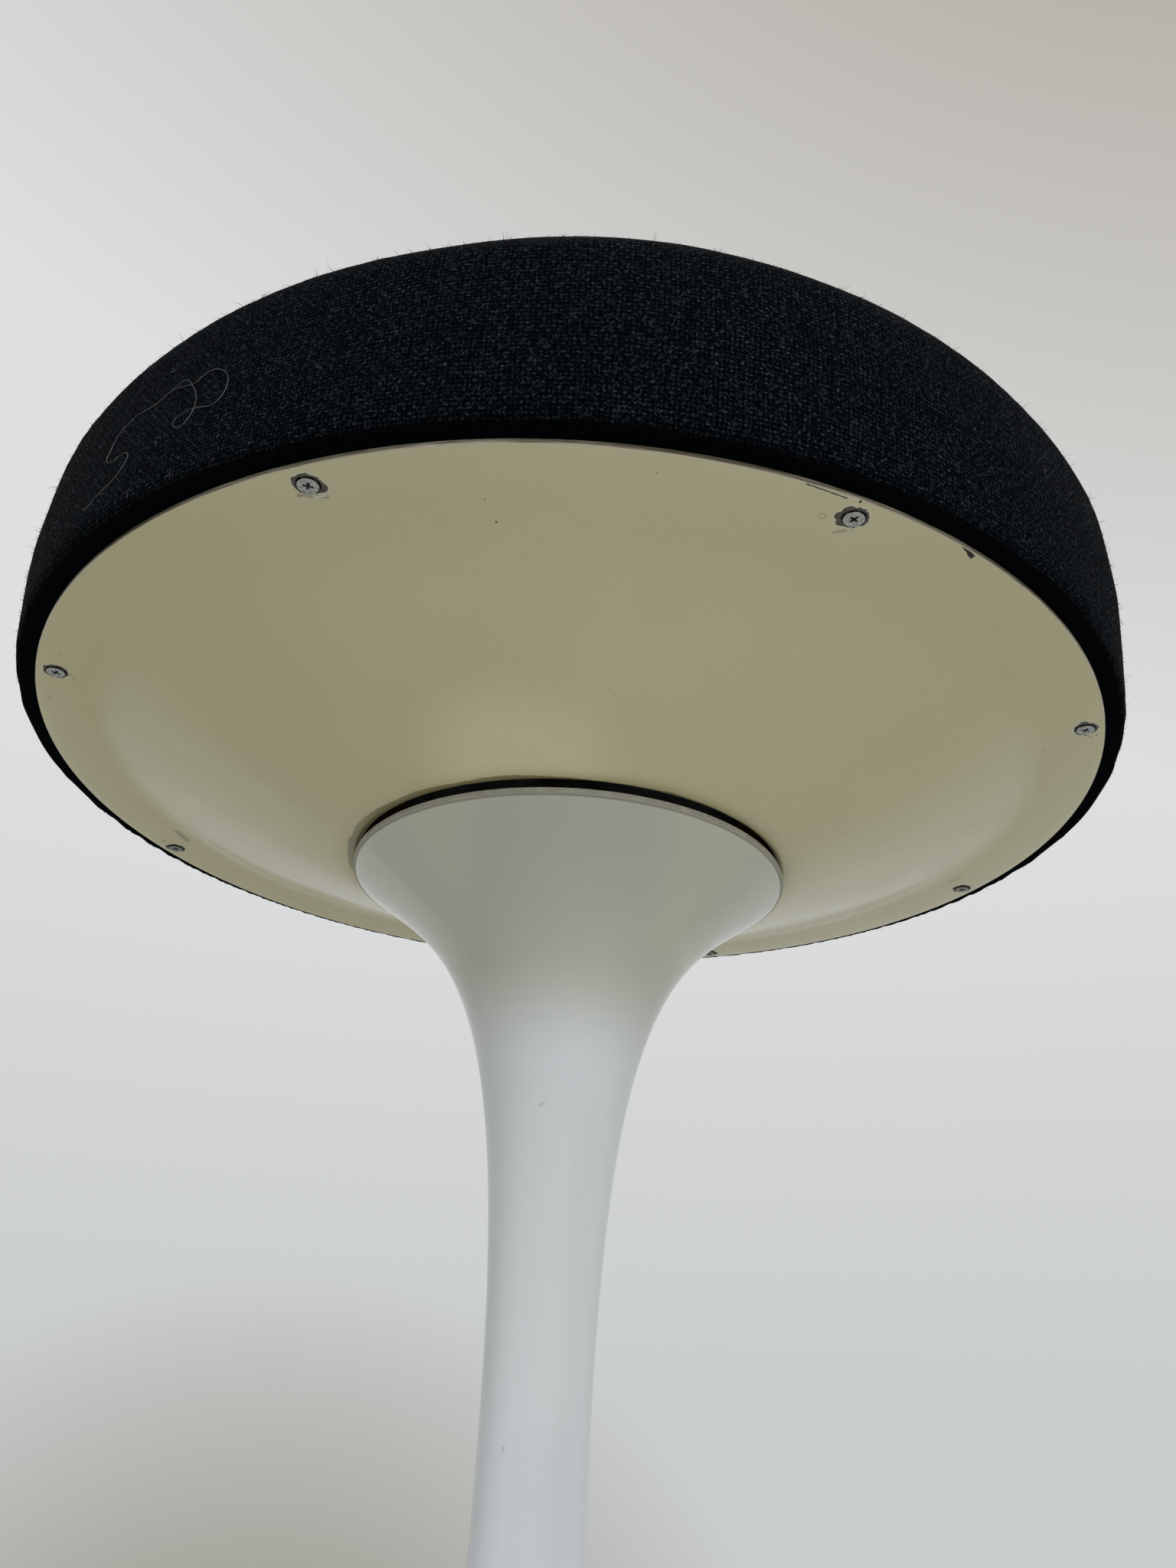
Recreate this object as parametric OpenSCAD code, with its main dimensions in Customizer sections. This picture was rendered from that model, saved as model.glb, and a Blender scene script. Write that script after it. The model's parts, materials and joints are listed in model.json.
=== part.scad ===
// Pedestal stool: an upholstered round seat over a pressed pan, turning on a cast trumpet pedestal.
// Millimetres, +Z up. The origin is the middle of the foot, on the floor, and +Z is the swivel's axis.

/* [Pedestal] */
// Height of the pedestal's lip above the floor
pedestal_h = 309; // [295:1:330]
// Diameter of the lip
lip_d = 155.2; // [145:0.2:166]
// Height of the plain edge round the lip
lip_edge = 1.8; // [1:0.1:3]
// Angle at which the flare meets the lip
lip_angle = 35.6; // [30:0.1:42]
// How far the flare keeps that angle, as a curve handle
lip_pull = 42; // [36:0.5:48]
// Diameter of the waist
waist_d = 32.8; // [32:0.1:40]
// Height of the waist above the floor
waist_h = 126; // [115:1:135]
// How far the stem stays slim above the waist, as a curve handle
waist_rise = 148; // [135:1:155]
// How far the stem stays slim below the waist, as a curve handle
waist_fall = 112; // [100:1:118]
// Diameter of the foot
foot_d = 344; // [320:1:380]
// Height of the foot's top at its edge, above the floor
foot_edge = 9; // [8:0.5:12]
// How far the foot stays flat inwards from its edge, as a curve handle
foot_pull = 139; // [120:1:142]
// Rise of the foot over that length
foot_rise = 2; // [1:0.5:8]
// Rounding of the foot's upper edge
foot_round = 2.5; // [1:0.5:3]
// Wall of the casting
wall_t = 5; // [4:0.5:5.5]

/* [Floor ring] */
// Width of the rubber ring under the foot
ring_w = 11; // [8:0.5:16]
// Height of the ring
ring_h = 3.5; // [3:0.1:4]
// How deep the ring sits in its groove
ring_groove = 1; // [0.5:0.1:1.5]
// Land between the ring and the foot's edge
ring_land = 2; // [1:0.5:4]

/* [Socket] */
// Diameter of the hub that stands in the flare
hub_d = 42; // [38:1:46]
// Drop from the lip to the top of the hub
hub_drop = 9; // [6:1:14]
// Depth of the flare's hollow below the lip
flare_hollow = 51; // [45:1:56]
// Depth of the bore for the bearing tube, below the top of the hub
socket_depth = 95; // [85:1:100]
// Length of the narrower throat under the bore
throat_len = 15; // [12:1:18]
// Drop from the top of the hub to the locking screws
lock_drop = 8; // [6:0.5:12]
// Number of locking screws
lock_count = 2; // [2:1:4]
// Diameter of a locking screw
lock_d = 6; // [5:0.5:7]
// Key size of a locking screw, across its flats
lock_key = 3; // [2.5:0.5:4]

/* [Bearing] */
// Diameter of the spindle
spindle_d = 16; // [14:0.5:17]
// Wall of the nylon bushes
bush_t = 2.5; // [2:0.1:3]
// Length of the upper bush below its flange
upper_bush_len = 24; // [18:1:30]
// Length of the lower bush
lower_bush_len = 26; // [18:1:30]
// Thickness of the upper bush's flange
bush_flange = 2; // [1.5:0.1:3]
// Wall of the steel tube that holds the bushes
tube_t = 2.5; // [2:0.1:3]
// Thickness of the steel thrust washer
thrust_t = 1.5; // [1:0.1:2]
// Thickness of the washer on the spindle's end
end_washer_t = 1.5; // [1:0.1:2]
// How far that washer stays inside the bush's rim
end_washer_in = 0.7; // [0.4:0.1:1]
// Diameter of the screw in the spindle's end
end_screw_d = 6; // [5:0.5:6]
// Diameter of that screw's head
end_head_d = 10; // [9:0.5:12]
// Key size of that screw, across its flats
end_key = 5; // [4:0.5:6]
// How far that screw goes into the spindle
end_screw_len = 16; // [12:1:22]
// Diameter of the spindle's head
head_d = 26; // [22:1:30]
// Height of the spindle's head
head_h = 4; // [3:0.5:6]

/* [Swivel plate] */
// Diameter of the plate
plate_d = 130; // [122:1:140]
// Thickness of the plate
plate_t = 5; // [4:0.5:6]
// Diameter of the circle of bolts
bolt_circle = 100; // [92:1:106]
// Number of bolts
bolt_count = 4; // [3:1:6]
// Diameter of a bolt
bolt_d = 6; // [5:0.5:8]
// Width of a bolt's head across its flats
bolt_flats = 10; // [9:0.5:13]
// Height of a bolt's head
bolt_head_h = 4; // [3:0.5:5]
// Outer diameter of a spring washer
spring_d = 11; // [10:0.5:12]
// Thickness of a spring washer
spring_t = 1.6; // [1:0.1:2]
// Width of the slit in a spring washer
spring_slit = 1; // [0.5:0.1:1.5]

/* [Pan] */
// How far the pan reaches out past the board
pan_over = 2; // [1:0.5:4]
// Thickness of the sheet
pan_t = 1.5; // [1.4:0.1:1.8]
// Width of the flat flange round the pan
flange_w = 17.5; // [14:0.5:19]
// Depth from the flange to the lowest ring of the pan
dish_depth = 32.8; // [28:0.2:36]
// Bend between the flange and the dish
flange_bend = 30; // [15:1:40]
// Bend where the dish flattens towards its hole
neck_bend = 34; // [10:1:40]
// Slope left where that bend ends
neck_slope = 7; // [2:0.5:10]
// Radius of the edge that rolls up into the hole
hole_roll = 2.5; // [2.2:0.1:3]
// How far the lip reaches out past the pan's hole
lip_cover = 2.1; // [1:0.1:4]
// Open gap between the lip and the pan
pan_gap = 3.2; // [2:0.1:5]

/* [Pan screws] */
// Distance of the screws from the pan's rim
screw_in = 6.4; // [6:0.1:8]
// Number of screws
screw_count = 8; // [6:1:12]
// Turn of the first screw from +X
screw_turn = -23.4; // [-45:0.1:45]
// Diameter of a screw
screw_d = 3.5; // [3:0.1:4]
// Diameter of a screw's head
screw_head_d = 6.4; // [5.8:0.1:7]
// Height of the head's cone
screw_head_h = 1.2; // [1:0.1:1.3]
// Length of a screw under its face
screw_len = 13; // [9:0.5:13]
// How deep a screw's face is sunk in the flange
screw_sunk = 0.2; // [0:0.1:0.3]
// Width of a screw's cross recess
cross_w = 3.8; // [3:0.1:4.5]
// Thickness of the recess's arms
cross_t = 1; // [0.8:0.1:1.2]
// Depth of the recess
cross_deep = 0.9; // [0.6:0.1:1.1]

/* [Seat] */
// Thickness of the plywood board
board_t = 12; // [12:0.5:16]
// Widest diameter of the upholstered seat
seat_d = 401; // [380:1:430]
// Padding from the board's edge to the seat's widest line
side_pad = 12.5; // [11:0.5:15]
// Height of the straight side, from the pan to the shoulder
side_h = 55.5; // [45:0.5:70]
// Rounding of the seat's lower edge
tuck_round = 7; // [5:0.5:9]
// Rounding of the shoulder
shoulder_round = 20; // [14:1:26]
// How far the side swells between its two edges
side_swell = 0.8; // [0:0.1:2]
// Slope of the crown at the shoulder
crown_slope = 6; // [3:0.5:9]
// Thickness of the fabric cover
cover_t = 1.2; // [1:0.1:1.8]
// Width of the cover's hem under the board
hem_w = 30; // [28:1:40]
// Diameter of the clearance hole for the spindle's head
board_hole_d = 34; // [31:1:40]

/* [Staples] */
// Number of staples in the hem
staple_count = 24; // [16:1:32]
// Width of a staple
staple_w = 10; // [8:0.5:12]
// Depth of a staple in the board
staple_len = 8; // [6:0.5:10]
// Thickness of the staple's wire
staple_wire = 0.8; // [0.6:0.1:0.9]
// Distance from the hem's inner edge to the staples
staple_in = 4; // [3:0.5:6]

/* [Tee nuts] */
// Diameter of a tee nut's flange
tee_d = 19; // [16:0.5:20]
// Thickness of that flange
tee_t = 1.2; // [1:0.1:1.5]
// Wall of a tee nut's barrel
tee_wall = 1; // [0.8:0.1:1.2]
// Length of the barrel
tee_len = 9; // [7:0.5:10]

/* [Clearances] */
// Radial clearance of the spindle in its bushes
run_clear = 0.05; // [0.02:0.01:0.08]
// Radial clearance of a piece that is pushed or screwed into its hole
seat_clear = 0.03; // [0.02:0.01:0.06]
// Radial clearance of a bolt in a drilled hole
bolt_clear = 0.3; // [0.2:0.1:0.5]
// Play between the lower bush and the end washer
end_play = 0.3; // [0.2:0.1:0.5]
// Radial clearance of the end washer in the throat
throat_clear = 0.6; // [0.4:0.1:1]
// How much deeper a blind hole is than the screw in it
hole_spare = 1; // [0.5:0.1:1.2]
// Clearance between the foam and the cover
foam_clear = 0.2; // [0.1:0.1:0.4]

/* [Hidden] */
$fn = 96;

// cut is how far a cutter runs past the face that it opens
cut = 1;
curve_steps = 24;
arc_steps = 8;

// heights, from the floor up to the board
foot_base = ring_h - ring_groove;
lip_z = pedestal_h - lip_edge;
hub_top = pedestal_h - hub_drop;
hollow_floor = pedestal_h - flare_hollow;
socket_floor = hub_top - socket_depth;
core_top = socket_floor - throat_len;
pan_low = pedestal_h + pan_gap;
pan_z = pan_low + dish_depth;
board_z = pan_z + pan_t + cover_t;
board_top = board_z + board_t;
plate_z = board_z - plate_t;
thrust_z = plate_z - thrust_t;
tube_top = thrust_z - bush_flange;
lock_z = hub_top - lock_drop;
end_z = socket_floor - end_play;

// the seat's round pieces, from the widest inwards
board_d = seat_d - 2 * side_pad;
pan_d = board_d + 2 * pan_over;
screw_circle = pan_d - 2 * screw_in;

// radii
lip_r = lip_d / 2;
waist_r = waist_d / 2;
foot_r = foot_d / 2;
ring_out_r = foot_r - ring_land;
ring_in_r = ring_out_r - ring_w;
hub_r = hub_d / 2;
spindle_r = spindle_d / 2;
bush_in_r = spindle_r + run_clear;
bush_out_r = bush_in_r + bush_t;
tube_in_r = bush_out_r + seat_clear;
tube_out_r = tube_in_r + tube_t;
socket_r = tube_out_r + seat_clear;
end_washer_r = bush_out_r - end_washer_in;
throat_r = end_washer_r + throat_clear;
hole_r = lip_r - lip_cover;
side_r = seat_d / 2 - side_swell;
bolt_r = bolt_d / 2;
bolt_hole_r = bolt_r + bolt_clear;
tee_in_r = bolt_r + seat_clear;
tee_out_r = tee_in_r + tee_wall;
lock_r = lock_d / 2;
lock_dimple = 0.6;
lock_tip_r = tube_out_r - lock_dimple;
bolt_turn = 45;
screw_r = screw_d / 2;
screw_hole_r = screw_r + seat_clear;
screw_z = pan_z + screw_sunk;
head_cone = (screw_head_d - screw_d) / 2 / screw_head_h;
hem_r = board_d / 2 - hem_w;
staple_r = hem_r + staple_in;

// a cubic curve through p[0] and p[3], and its inner parallel at distance t
function curve(p, u) = pow(1 - u, 3) * p[0] + 3 * pow(1 - u, 2) * u * p[1]
    + 3 * (1 - u) * u * u * p[2] + pow(u, 3) * p[3];
function heading(p, u) = pow(1 - u, 2) * (p[1] - p[0]) + 2 * (1 - u) * u * (p[2] - p[1])
    + u * u * (p[3] - p[2]);
function parallel(p, u, t) = let (h = heading(p, u)) curve(p, u) + t * [-h[1], h[0]] / norm(h);
function sweep(p, t) = [for (i = [0:curve_steps]) parallel(p, i / curve_steps, t)];
function arc(c, r, a, b) = [for (i = [0:arc_steps]) let (g = a + (b - a) * i / arc_steps)
    c + r * [cos(g), sin(g)]];
function backwards(list) = [for (i = [len(list) - 1:-1:0]) list[i]];

foot_curve = [[foot_r - foot_round, foot_edge], [foot_r - foot_pull, foot_edge + foot_rise],
    [waist_r, waist_h - waist_fall], [waist_r, waist_h]];
flare_curve = [[waist_r, waist_h], [waist_r, waist_h + waist_rise],
    [lip_r - lip_pull * cos(lip_angle), lip_z - lip_pull * sin(lip_angle)], [lip_r, lip_z]];

// the pan's section, from its rim to its hole, raised by t: flange, bend, cone, neck bend, rolled edge
bend_c = [pan_d / 2 - flange_w, pan_z - flange_bend];
roll_c = [hole_r + hole_roll, pan_low + hole_roll];
neck_c = roll_c + (neck_bend - hole_roll) * [-sin(neck_slope), cos(neck_slope)];
bend_sum = flange_bend + neck_bend;
bend_gap = bend_c - neck_c;
cone_len = sqrt(bend_gap * bend_gap - bend_sum * bend_sum);
dish_angle = atan2(bend_gap[1], bend_gap[0]) + atan2(bend_sum, cone_len);
function pan_face(t) = concat([[pan_d / 2, pan_z + t]],
    arc(bend_c, flange_bend + t, 90, 90 + dish_angle),
    arc(neck_c, neck_bend - t, dish_angle - 90, neck_slope - 90),
    arc(roll_c, hole_roll - t, neck_slope - 90, -180));

// the outline of the pad, drawn in by t, from its lower edge round the shoulder to the axis
tuck_c = [side_r - tuck_round, pan_z + pan_t + tuck_round];
shoulder_c = [side_r - shoulder_round, pan_z + side_h];
crown_r = (shoulder_c[0] + shoulder_round * sin(crown_slope)) / sin(crown_slope);
crown_c = [0, shoulder_c[1] + (shoulder_round - crown_r) * cos(crown_slope)];
side_span = shoulder_c[1] - tuck_c[1];
function side(t) = [for (i = [1:arc_steps - 1]) let (s = i / arc_steps)
    [side_r - t + side_swell * sin(180 * s), tuck_c[1] + side_span * s]];
function pad(t) = concat(arc(tuck_c, tuck_round - t, -90, 0), side(t),
    arc(shoulder_c, shoulder_round - t, 0, 90 - crown_slope),
    arc(crown_c, crown_r - t, 90 - crown_slope * (1 - 1 / arc_steps), 90));

module ring(out_r, in_r, z, h) {
    translate([0, 0, z]) difference() {
        cylinder(r = out_r, h = h);
        translate([0, 0, -cut]) cylinder(r = in_r, h = h + 2 * cut);
    }
}

module around(count, r, turn = 0) {
    for (i = [0:count - 1]) rotate([0, 0, turn + i * 360 / count]) translate([r, 0, 0]) children();
}

// the room of a hexagon key of this size across its flats
module key_socket(flats, h) {
    cylinder(d = flats / cos(30), h = h, $fn = 6);
}

module pedestal_body() {
    edge = arc([foot_r - foot_round, foot_edge - foot_round], foot_round, 0, 90);
    rotate_extrude() polygon(concat([[0, foot_base], [foot_r, foot_base]], edge,
        [for (i = [1:curve_steps]) curve(foot_curve, i / curve_steps)],
        [for (i = [1:curve_steps]) curve(flare_curve, i / curve_steps)],
        [[lip_r, pedestal_h], [0, pedestal_h]]));
}

module flare_hollow_cut() {
    wall = [for (p = sweep(flare_curve, wall_t)) if (p[1] > hollow_floor && p[1] < pedestal_h) p];
    difference() {
        rotate_extrude() polygon(concat([[0, hollow_floor], [wall[0][0], hollow_floor]], wall,
            [[lip_r - wall_t, pedestal_h + cut], [0, pedestal_h + cut]]));
        translate([0, 0, hollow_floor - cut]) cylinder(r = hub_r, h = hub_top - hollow_floor + cut);
    }
}

module foot_hollow_cut() {
    shell_r = ring_in_r - ring_land;
    shell = [for (p = sweep(foot_curve, wall_t)) if (p[1] > foot_base && p[0] < shell_r) p];
    stem = [for (p = sweep(flare_curve, wall_t)) if (p[1] > waist_h && p[1] < core_top) p];
    rotate_extrude() polygon(concat([[0, foot_base - cut], [shell[0][0], foot_base - cut]], shell, stem,
        [[stem[len(stem) - 1][0], core_top], [0, core_top]]));
}

// The casting: flare, stem and foot in one piece, hollow from both ends, with the socket in its hub
module pedestal() {
    color("whitesmoke") difference() {
        pedestal_body();
        flare_hollow_cut();
        foot_hollow_cut();
        ring(ring_out_r, ring_in_r, foot_base - cut, ring_groove + cut);
        translate([0, 0, core_top - cut]) cylinder(r = throat_r, h = throat_len + 2 * cut);
        translate([0, 0, socket_floor]) cylinder(r = socket_r, h = socket_depth + cut);
        around(lock_count, 0) translate([0, 0, lock_z]) rotate([0, 90, 0])
            cylinder(r = lock_r + seat_clear, h = hub_r + cut);
    }
}

// The rubber ring that the foot stands on
module foot_ring() {
    color("dimgray") ring(ring_out_r, ring_in_r, 0, ring_h);
}

// The steel tube that carries both bushes, held in the socket by the locking screws
module bearing_tube() {
    color("slategray") difference() {
        ring(tube_out_r, tube_in_r, socket_floor, tube_top - socket_floor);
        around(lock_count, lock_tip_r) translate([0, 0, lock_z]) rotate([0, 90, 0])
            cylinder(r = lock_r + seat_clear, h = lock_dimple + cut);
    }
}

// The upper bush, with the flange that takes the thrust
module upper_bush() {
    color("ivory") difference() {
        union() {
            translate([0, 0, tube_top - upper_bush_len]) cylinder(r = bush_out_r, h = upper_bush_len);
            translate([0, 0, tube_top]) cylinder(r = tube_out_r, h = bush_flange);
        }
        translate([0, 0, tube_top - upper_bush_len - cut])
            cylinder(r = bush_in_r, h = upper_bush_len + bush_flange + 2 * cut);
    }
}

// The plain lower bush
module lower_bush() {
    color("ivory") ring(bush_out_r, bush_in_r, socket_floor, lower_bush_len);
}

// Socket screws that lock the tube in the hub
module grub_screws() {
    lock_len = hub_r - lock_tip_r;
    color("dimgray") around(lock_count, lock_tip_r) translate([0, 0, lock_z]) rotate([0, 90, 0])
        difference() {
            cylinder(r = lock_r, h = lock_len);
            translate([0, 0, lock_len - lock_key]) key_socket(lock_key, lock_key + cut);
        }
}

// The hard washer between the plate and the bush's flange
module thrust_washer() {
    color("silver") ring(tube_out_r, spindle_r + seat_clear, thrust_z, thrust_t);
}

// The spindle: its head is welded on the plate and its shaft turns in the bushes
module spindle() {
    color("silver") difference() {
        union() {
            translate([0, 0, end_z]) cylinder(r = spindle_r, h = board_z - end_z);
            translate([0, 0, board_z]) cylinder(d = head_d, h = head_h);
        }
        translate([0, 0, end_z - cut])
            cylinder(d = end_screw_d + 2 * seat_clear, h = end_screw_len + hole_spare + cut);
    }
}

// The washer that keeps the spindle from being lifted out
module end_washer() {
    color("silver") ring(end_washer_r, end_screw_d / 2 + bolt_clear, end_z - end_washer_t, end_washer_t);
}

// The socket screw in the spindle's end
module end_screw() {
    head_z = end_z - end_washer_t - end_screw_d;
    color("dimgray") translate([0, 0, head_z]) difference() {
        union() {
            cylinder(d = end_head_d, h = end_screw_d);
            cylinder(d = end_screw_d, h = end_screw_d + end_washer_t + end_screw_len);
        }
        translate([0, 0, -cut]) key_socket(end_key, end_screw_d / 2 + cut);
    }
}

// The steel plate that is bolted under the board
module swivel_plate() {
    color("gray") difference() {
        translate([0, 0, plate_z]) cylinder(d = plate_d, h = plate_t);
        translate([0, 0, plate_z - cut]) cylinder(r = spindle_r + seat_clear, h = plate_t + 2 * cut);
        around(bolt_count, bolt_circle / 2, bolt_turn) translate([0, 0, plate_z - cut])
            cylinder(r = bolt_hole_r, h = plate_t + 2 * cut);
    }
}

// Hexagon bolts, from under the plate up into the tee nuts
module plate_bolts() {
    head_z = plate_z - spring_t - bolt_head_h;
    shank = board_top - tee_t - head_z - bolt_head_h;
    color("silver") around(bolt_count, bolt_circle / 2, bolt_turn) translate([0, 0, head_z]) {
        cylinder(d = bolt_flats / cos(30), h = bolt_head_h, $fn = 6);
        translate([0, 0, bolt_head_h / 2]) cylinder(r = bolt_r, h = shank + bolt_head_h / 2);
    }
}

// Split spring washers under the bolt heads
module spring_washers() {
    color("silver") around(bolt_count, bolt_circle / 2, bolt_turn) difference() {
        ring(spring_d / 2, bolt_hole_r, plate_z - spring_t, spring_t);
        translate([0, -spring_slit / 2, plate_z - spring_t - cut])
            cube([spring_d, spring_slit, spring_t + 2 * cut]);
    }
}

// Tee nuts, let into the top of the board
module tee_nuts() {
    barrel_z = board_top - tee_len;
    color("goldenrod") around(bolt_count, bolt_circle / 2, bolt_turn) {
        difference() {
            union() {
                translate([0, 0, board_top - tee_t]) cylinder(d = tee_d, h = tee_t);
                translate([0, 0, barrel_z]) cylinder(r = tee_out_r, h = tee_len);
            }
            translate([0, 0, barrel_z - cut]) cylinder(r = tee_in_r, h = tee_len + 2 * cut);
        }
    }
}

// the screws' holes, from height z to just past their ends
module screw_holes(z) {
    around(screw_count, screw_circle / 2, screw_turn) translate([0, 0, z])
        cylinder(r = screw_hole_r, h = screw_z + screw_len + hole_spare - z);
}

// The plywood board
module seat_board() {
    color("burlywood") difference() {
        translate([0, 0, board_z]) cylinder(d = board_d, h = board_t);
        translate([0, 0, board_z - cut]) cylinder(d = board_hole_d, h = board_t + 2 * cut);
        around(bolt_count, bolt_circle / 2, bolt_turn) {
            translate([0, 0, board_z - cut]) cylinder(r = tee_out_r + seat_clear, h = board_t + 2 * cut);
            translate([0, 0, board_top - tee_t]) cylinder(d = tee_d + 2 * seat_clear, h = tee_t + cut);
        }
        screw_holes(board_z - cut);
    }
}

// The foam pad, with the pocket that the board sits in
module foam_pad() {
    drawn_in = cover_t + foam_clear;
    color("khaki") difference() {
        rotate_extrude() polygon(concat([[0, pan_z + pan_t + drawn_in]], pad(drawn_in)));
        translate([0, 0, board_z - cut]) cylinder(d = board_d, h = board_t + cut);
    }
}

// The one-piece fabric cover, pulled over the pad and turned in under the board
module seat_cover() {
    color([0.08, 0.09, 0.11]) difference() {
        rotate_extrude() polygon(concat([[hem_r, pan_z + pan_t]], pad(0), backwards(pad(cover_t)),
            [[hem_r, board_z]]));
        screw_holes(pan_z);
    }
}

// Staples that hold the hem to the board
module cover_staples() {
    color("silver") around(staple_count, staple_r, 360 / staple_count / 2)
        translate([-staple_wire / 2, -staple_w / 2, pan_z + pan_t - staple_wire]) {
            cube([staple_wire, staple_w, staple_wire]);
            for (y = [0, staple_w - staple_wire]) translate([0, y, 0])
                cube([staple_wire, staple_wire, staple_len + staple_wire]);
        }
}

// The pressed pan that closes the seat from below
module seat_pan() {
    color([0.80, 0.77, 0.65]) difference() {
        rotate_extrude() polygon(concat(pan_face(0), backwards(pan_face(pan_t))));
        screw_holes(pan_z - cut);
        around(screw_count, screw_circle / 2, screw_turn) translate([0, 0, pan_z - cut])
            cylinder(r1 = screw_head_d / 2 + seat_clear + (screw_sunk + cut) * head_cone, r2 = screw_hole_r,
                h = screw_sunk + cut + screw_head_h);
    }
}

// Countersunk cross-recess screws through the flange and the hem into the board
module pan_screws() {
    color("gainsboro") around(screw_count, screw_circle / 2, screw_turn) translate([0, 0, screw_z])
        difference() {
            union() {
                cylinder(r1 = screw_head_d / 2, r2 = screw_r, h = screw_head_h);
                cylinder(r = screw_r, h = screw_len);
            }
            for (turn = [0, 90]) rotate([0, 0, turn])
                cube([cross_w, cross_t, 2 * cross_deep], center = true);
        }
}

pedestal();
foot_ring();
bearing_tube();
upper_bush();
lower_bush();
grub_screws();
thrust_washer();
spindle();
end_washer();
end_screw();
swivel_plate();
plate_bolts();
spring_washers();
tee_nuts();
seat_board();
foam_pad();
seat_cover();
cover_staples();
seat_pan();
pan_screws();
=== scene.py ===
# %% [markdown]
# # Dressing a pedestal stool
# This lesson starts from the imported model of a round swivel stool: a drum cushion, a pressed pan
# held by eight screws, and a cast pedestal that opens like a trumpet under the pan. The packed
# solids have the right sizes and the right joint, but no cloth, no paint and no wear. Each step
# below takes one piece of the stool, says what it is on the real object, and makes it.

# %% Load the frame
import json
import math

import bmesh
import bpy
import numpy as np
from mathutils import Matrix, Vector

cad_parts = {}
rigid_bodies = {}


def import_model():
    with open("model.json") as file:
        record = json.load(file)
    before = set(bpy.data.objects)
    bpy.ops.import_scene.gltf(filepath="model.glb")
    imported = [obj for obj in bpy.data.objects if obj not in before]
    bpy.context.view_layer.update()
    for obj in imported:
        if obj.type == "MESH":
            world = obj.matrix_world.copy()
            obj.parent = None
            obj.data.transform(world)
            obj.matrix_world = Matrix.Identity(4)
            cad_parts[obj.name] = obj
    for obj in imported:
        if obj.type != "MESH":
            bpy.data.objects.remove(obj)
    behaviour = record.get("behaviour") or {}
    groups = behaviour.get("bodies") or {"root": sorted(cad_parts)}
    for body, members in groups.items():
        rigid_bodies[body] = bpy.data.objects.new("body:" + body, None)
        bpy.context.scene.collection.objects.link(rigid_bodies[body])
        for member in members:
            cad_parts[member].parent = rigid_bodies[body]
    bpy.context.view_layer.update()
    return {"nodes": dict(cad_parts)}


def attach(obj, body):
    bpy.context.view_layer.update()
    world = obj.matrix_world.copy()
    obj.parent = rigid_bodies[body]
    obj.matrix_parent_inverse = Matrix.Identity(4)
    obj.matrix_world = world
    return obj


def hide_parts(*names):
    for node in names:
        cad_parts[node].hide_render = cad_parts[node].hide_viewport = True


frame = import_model()

# %% [markdown]
# ## Sizes
# Every length is written in millimetres, as on a drawing, and becomes metres in one place. The
# sizes repeat those of the solid model, so each new piece lies where its solid lies. A few are
# corrected by less than 3 mm, to follow the photograph: the cushion's section, the height of the
# lip, the pan's rim and the heads of its screws.

# %% The sizes that the pieces share
MM = 0.001
FOOT_R, FOOT_EDGE, FOOT_ROUND, FOOT_BASE = 172, 9, 2.5, 2.5
WAIST_R, WAIST_Z = 16.4, 126
LIP_R, LIP_Z, LIP_TOP = 77.6, 307.7, 309.3
HUB_R, HUB_TOP, HOLLOW_Z = 21, 300, 258
SOCKET_R, SOCKET_Z, THROAT_R, CORE_Z = 13.11, 205, 10.45, 190
PAN_R, PAN_Z, PAN_T, HOLE_R = 190, 345, 1.5, 75.5
SCREW_RING, SCREW_Z, SCREW_TURN = 183.6, 344.6, -23.4
BOARD_R, BOARD_Z, BOARD_TOP = 188, 347.7, 359.7
TUCK = (189.9, 351.6, 7.6)
SHOULDER = (174.8, 401.4, 22.7)
SIDE_R, SWELL, CROWN_SLOPE, HEM_R = 197.5, 0.4, 4, 158
print("pan", 2 * PAN_R, "mm wide, lip", round(2 * LIP_R, 1), "mm, cushion side", round(2 * SIDE_R, 1), "mm")

# %% [markdown]
# ## Working by hand
# The pieces are made with the tools that one uses by hand: a primitive or a drawn line, then
# edit mode, then modifiers that are applied. An operator acts on everything that is selected, so
# a helper first selects one piece alone, and another picks faces, edges or points by their place.

# %% Helpers for selecting and shaping
def only(piece):
    """Select this piece alone and make it the active one."""
    bpy.ops.object.select_all(action="DESELECT")
    piece.select_set(True)
    bpy.context.view_layer.objects.active = piece
    return piece


class Editing:
    """Edit mode on one piece, left again at the end."""

    def __init__(self, piece):
        self.piece = piece

    def __enter__(self):
        only(self.piece)
        bpy.ops.object.mode_set(mode="EDIT")
        return self

    def __exit__(self, *_):
        bpy.ops.object.mode_set(mode="OBJECT")

    def pick(self, kind, test):
        """Select the faces, edges or verts whose middle, in mm, passes the test."""
        bpy.ops.mesh.select_all(action="DESELECT")
        mesh = bmesh.from_edit_mesh(self.piece.data)
        for part in getattr(mesh, kind):
            corners = [part] if kind == "verts" else part.verts
            middle = sum((v.co for v in corners), Vector()) / len(corners)
            if test(middle / MM):
                part.select_set(True)
        mesh.select_flush_mode()
        bmesh.update_edit_mesh(self.piece.data)


def named(name):
    """Give the piece just added its name, with its place in its mesh."""
    piece = bpy.context.object
    piece.name = piece.data.name = name
    bpy.ops.object.transform_apply(location=True, rotation=True, scale=True)
    return piece


def apply(piece, kind, **settings):
    """Add one modifier and apply it."""
    only(piece)
    made = piece.modifiers.new(kind, kind)
    for key, value in settings.items():
        setattr(made, key, value)
    bpy.ops.object.modifier_apply(modifier=made.name)


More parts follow.
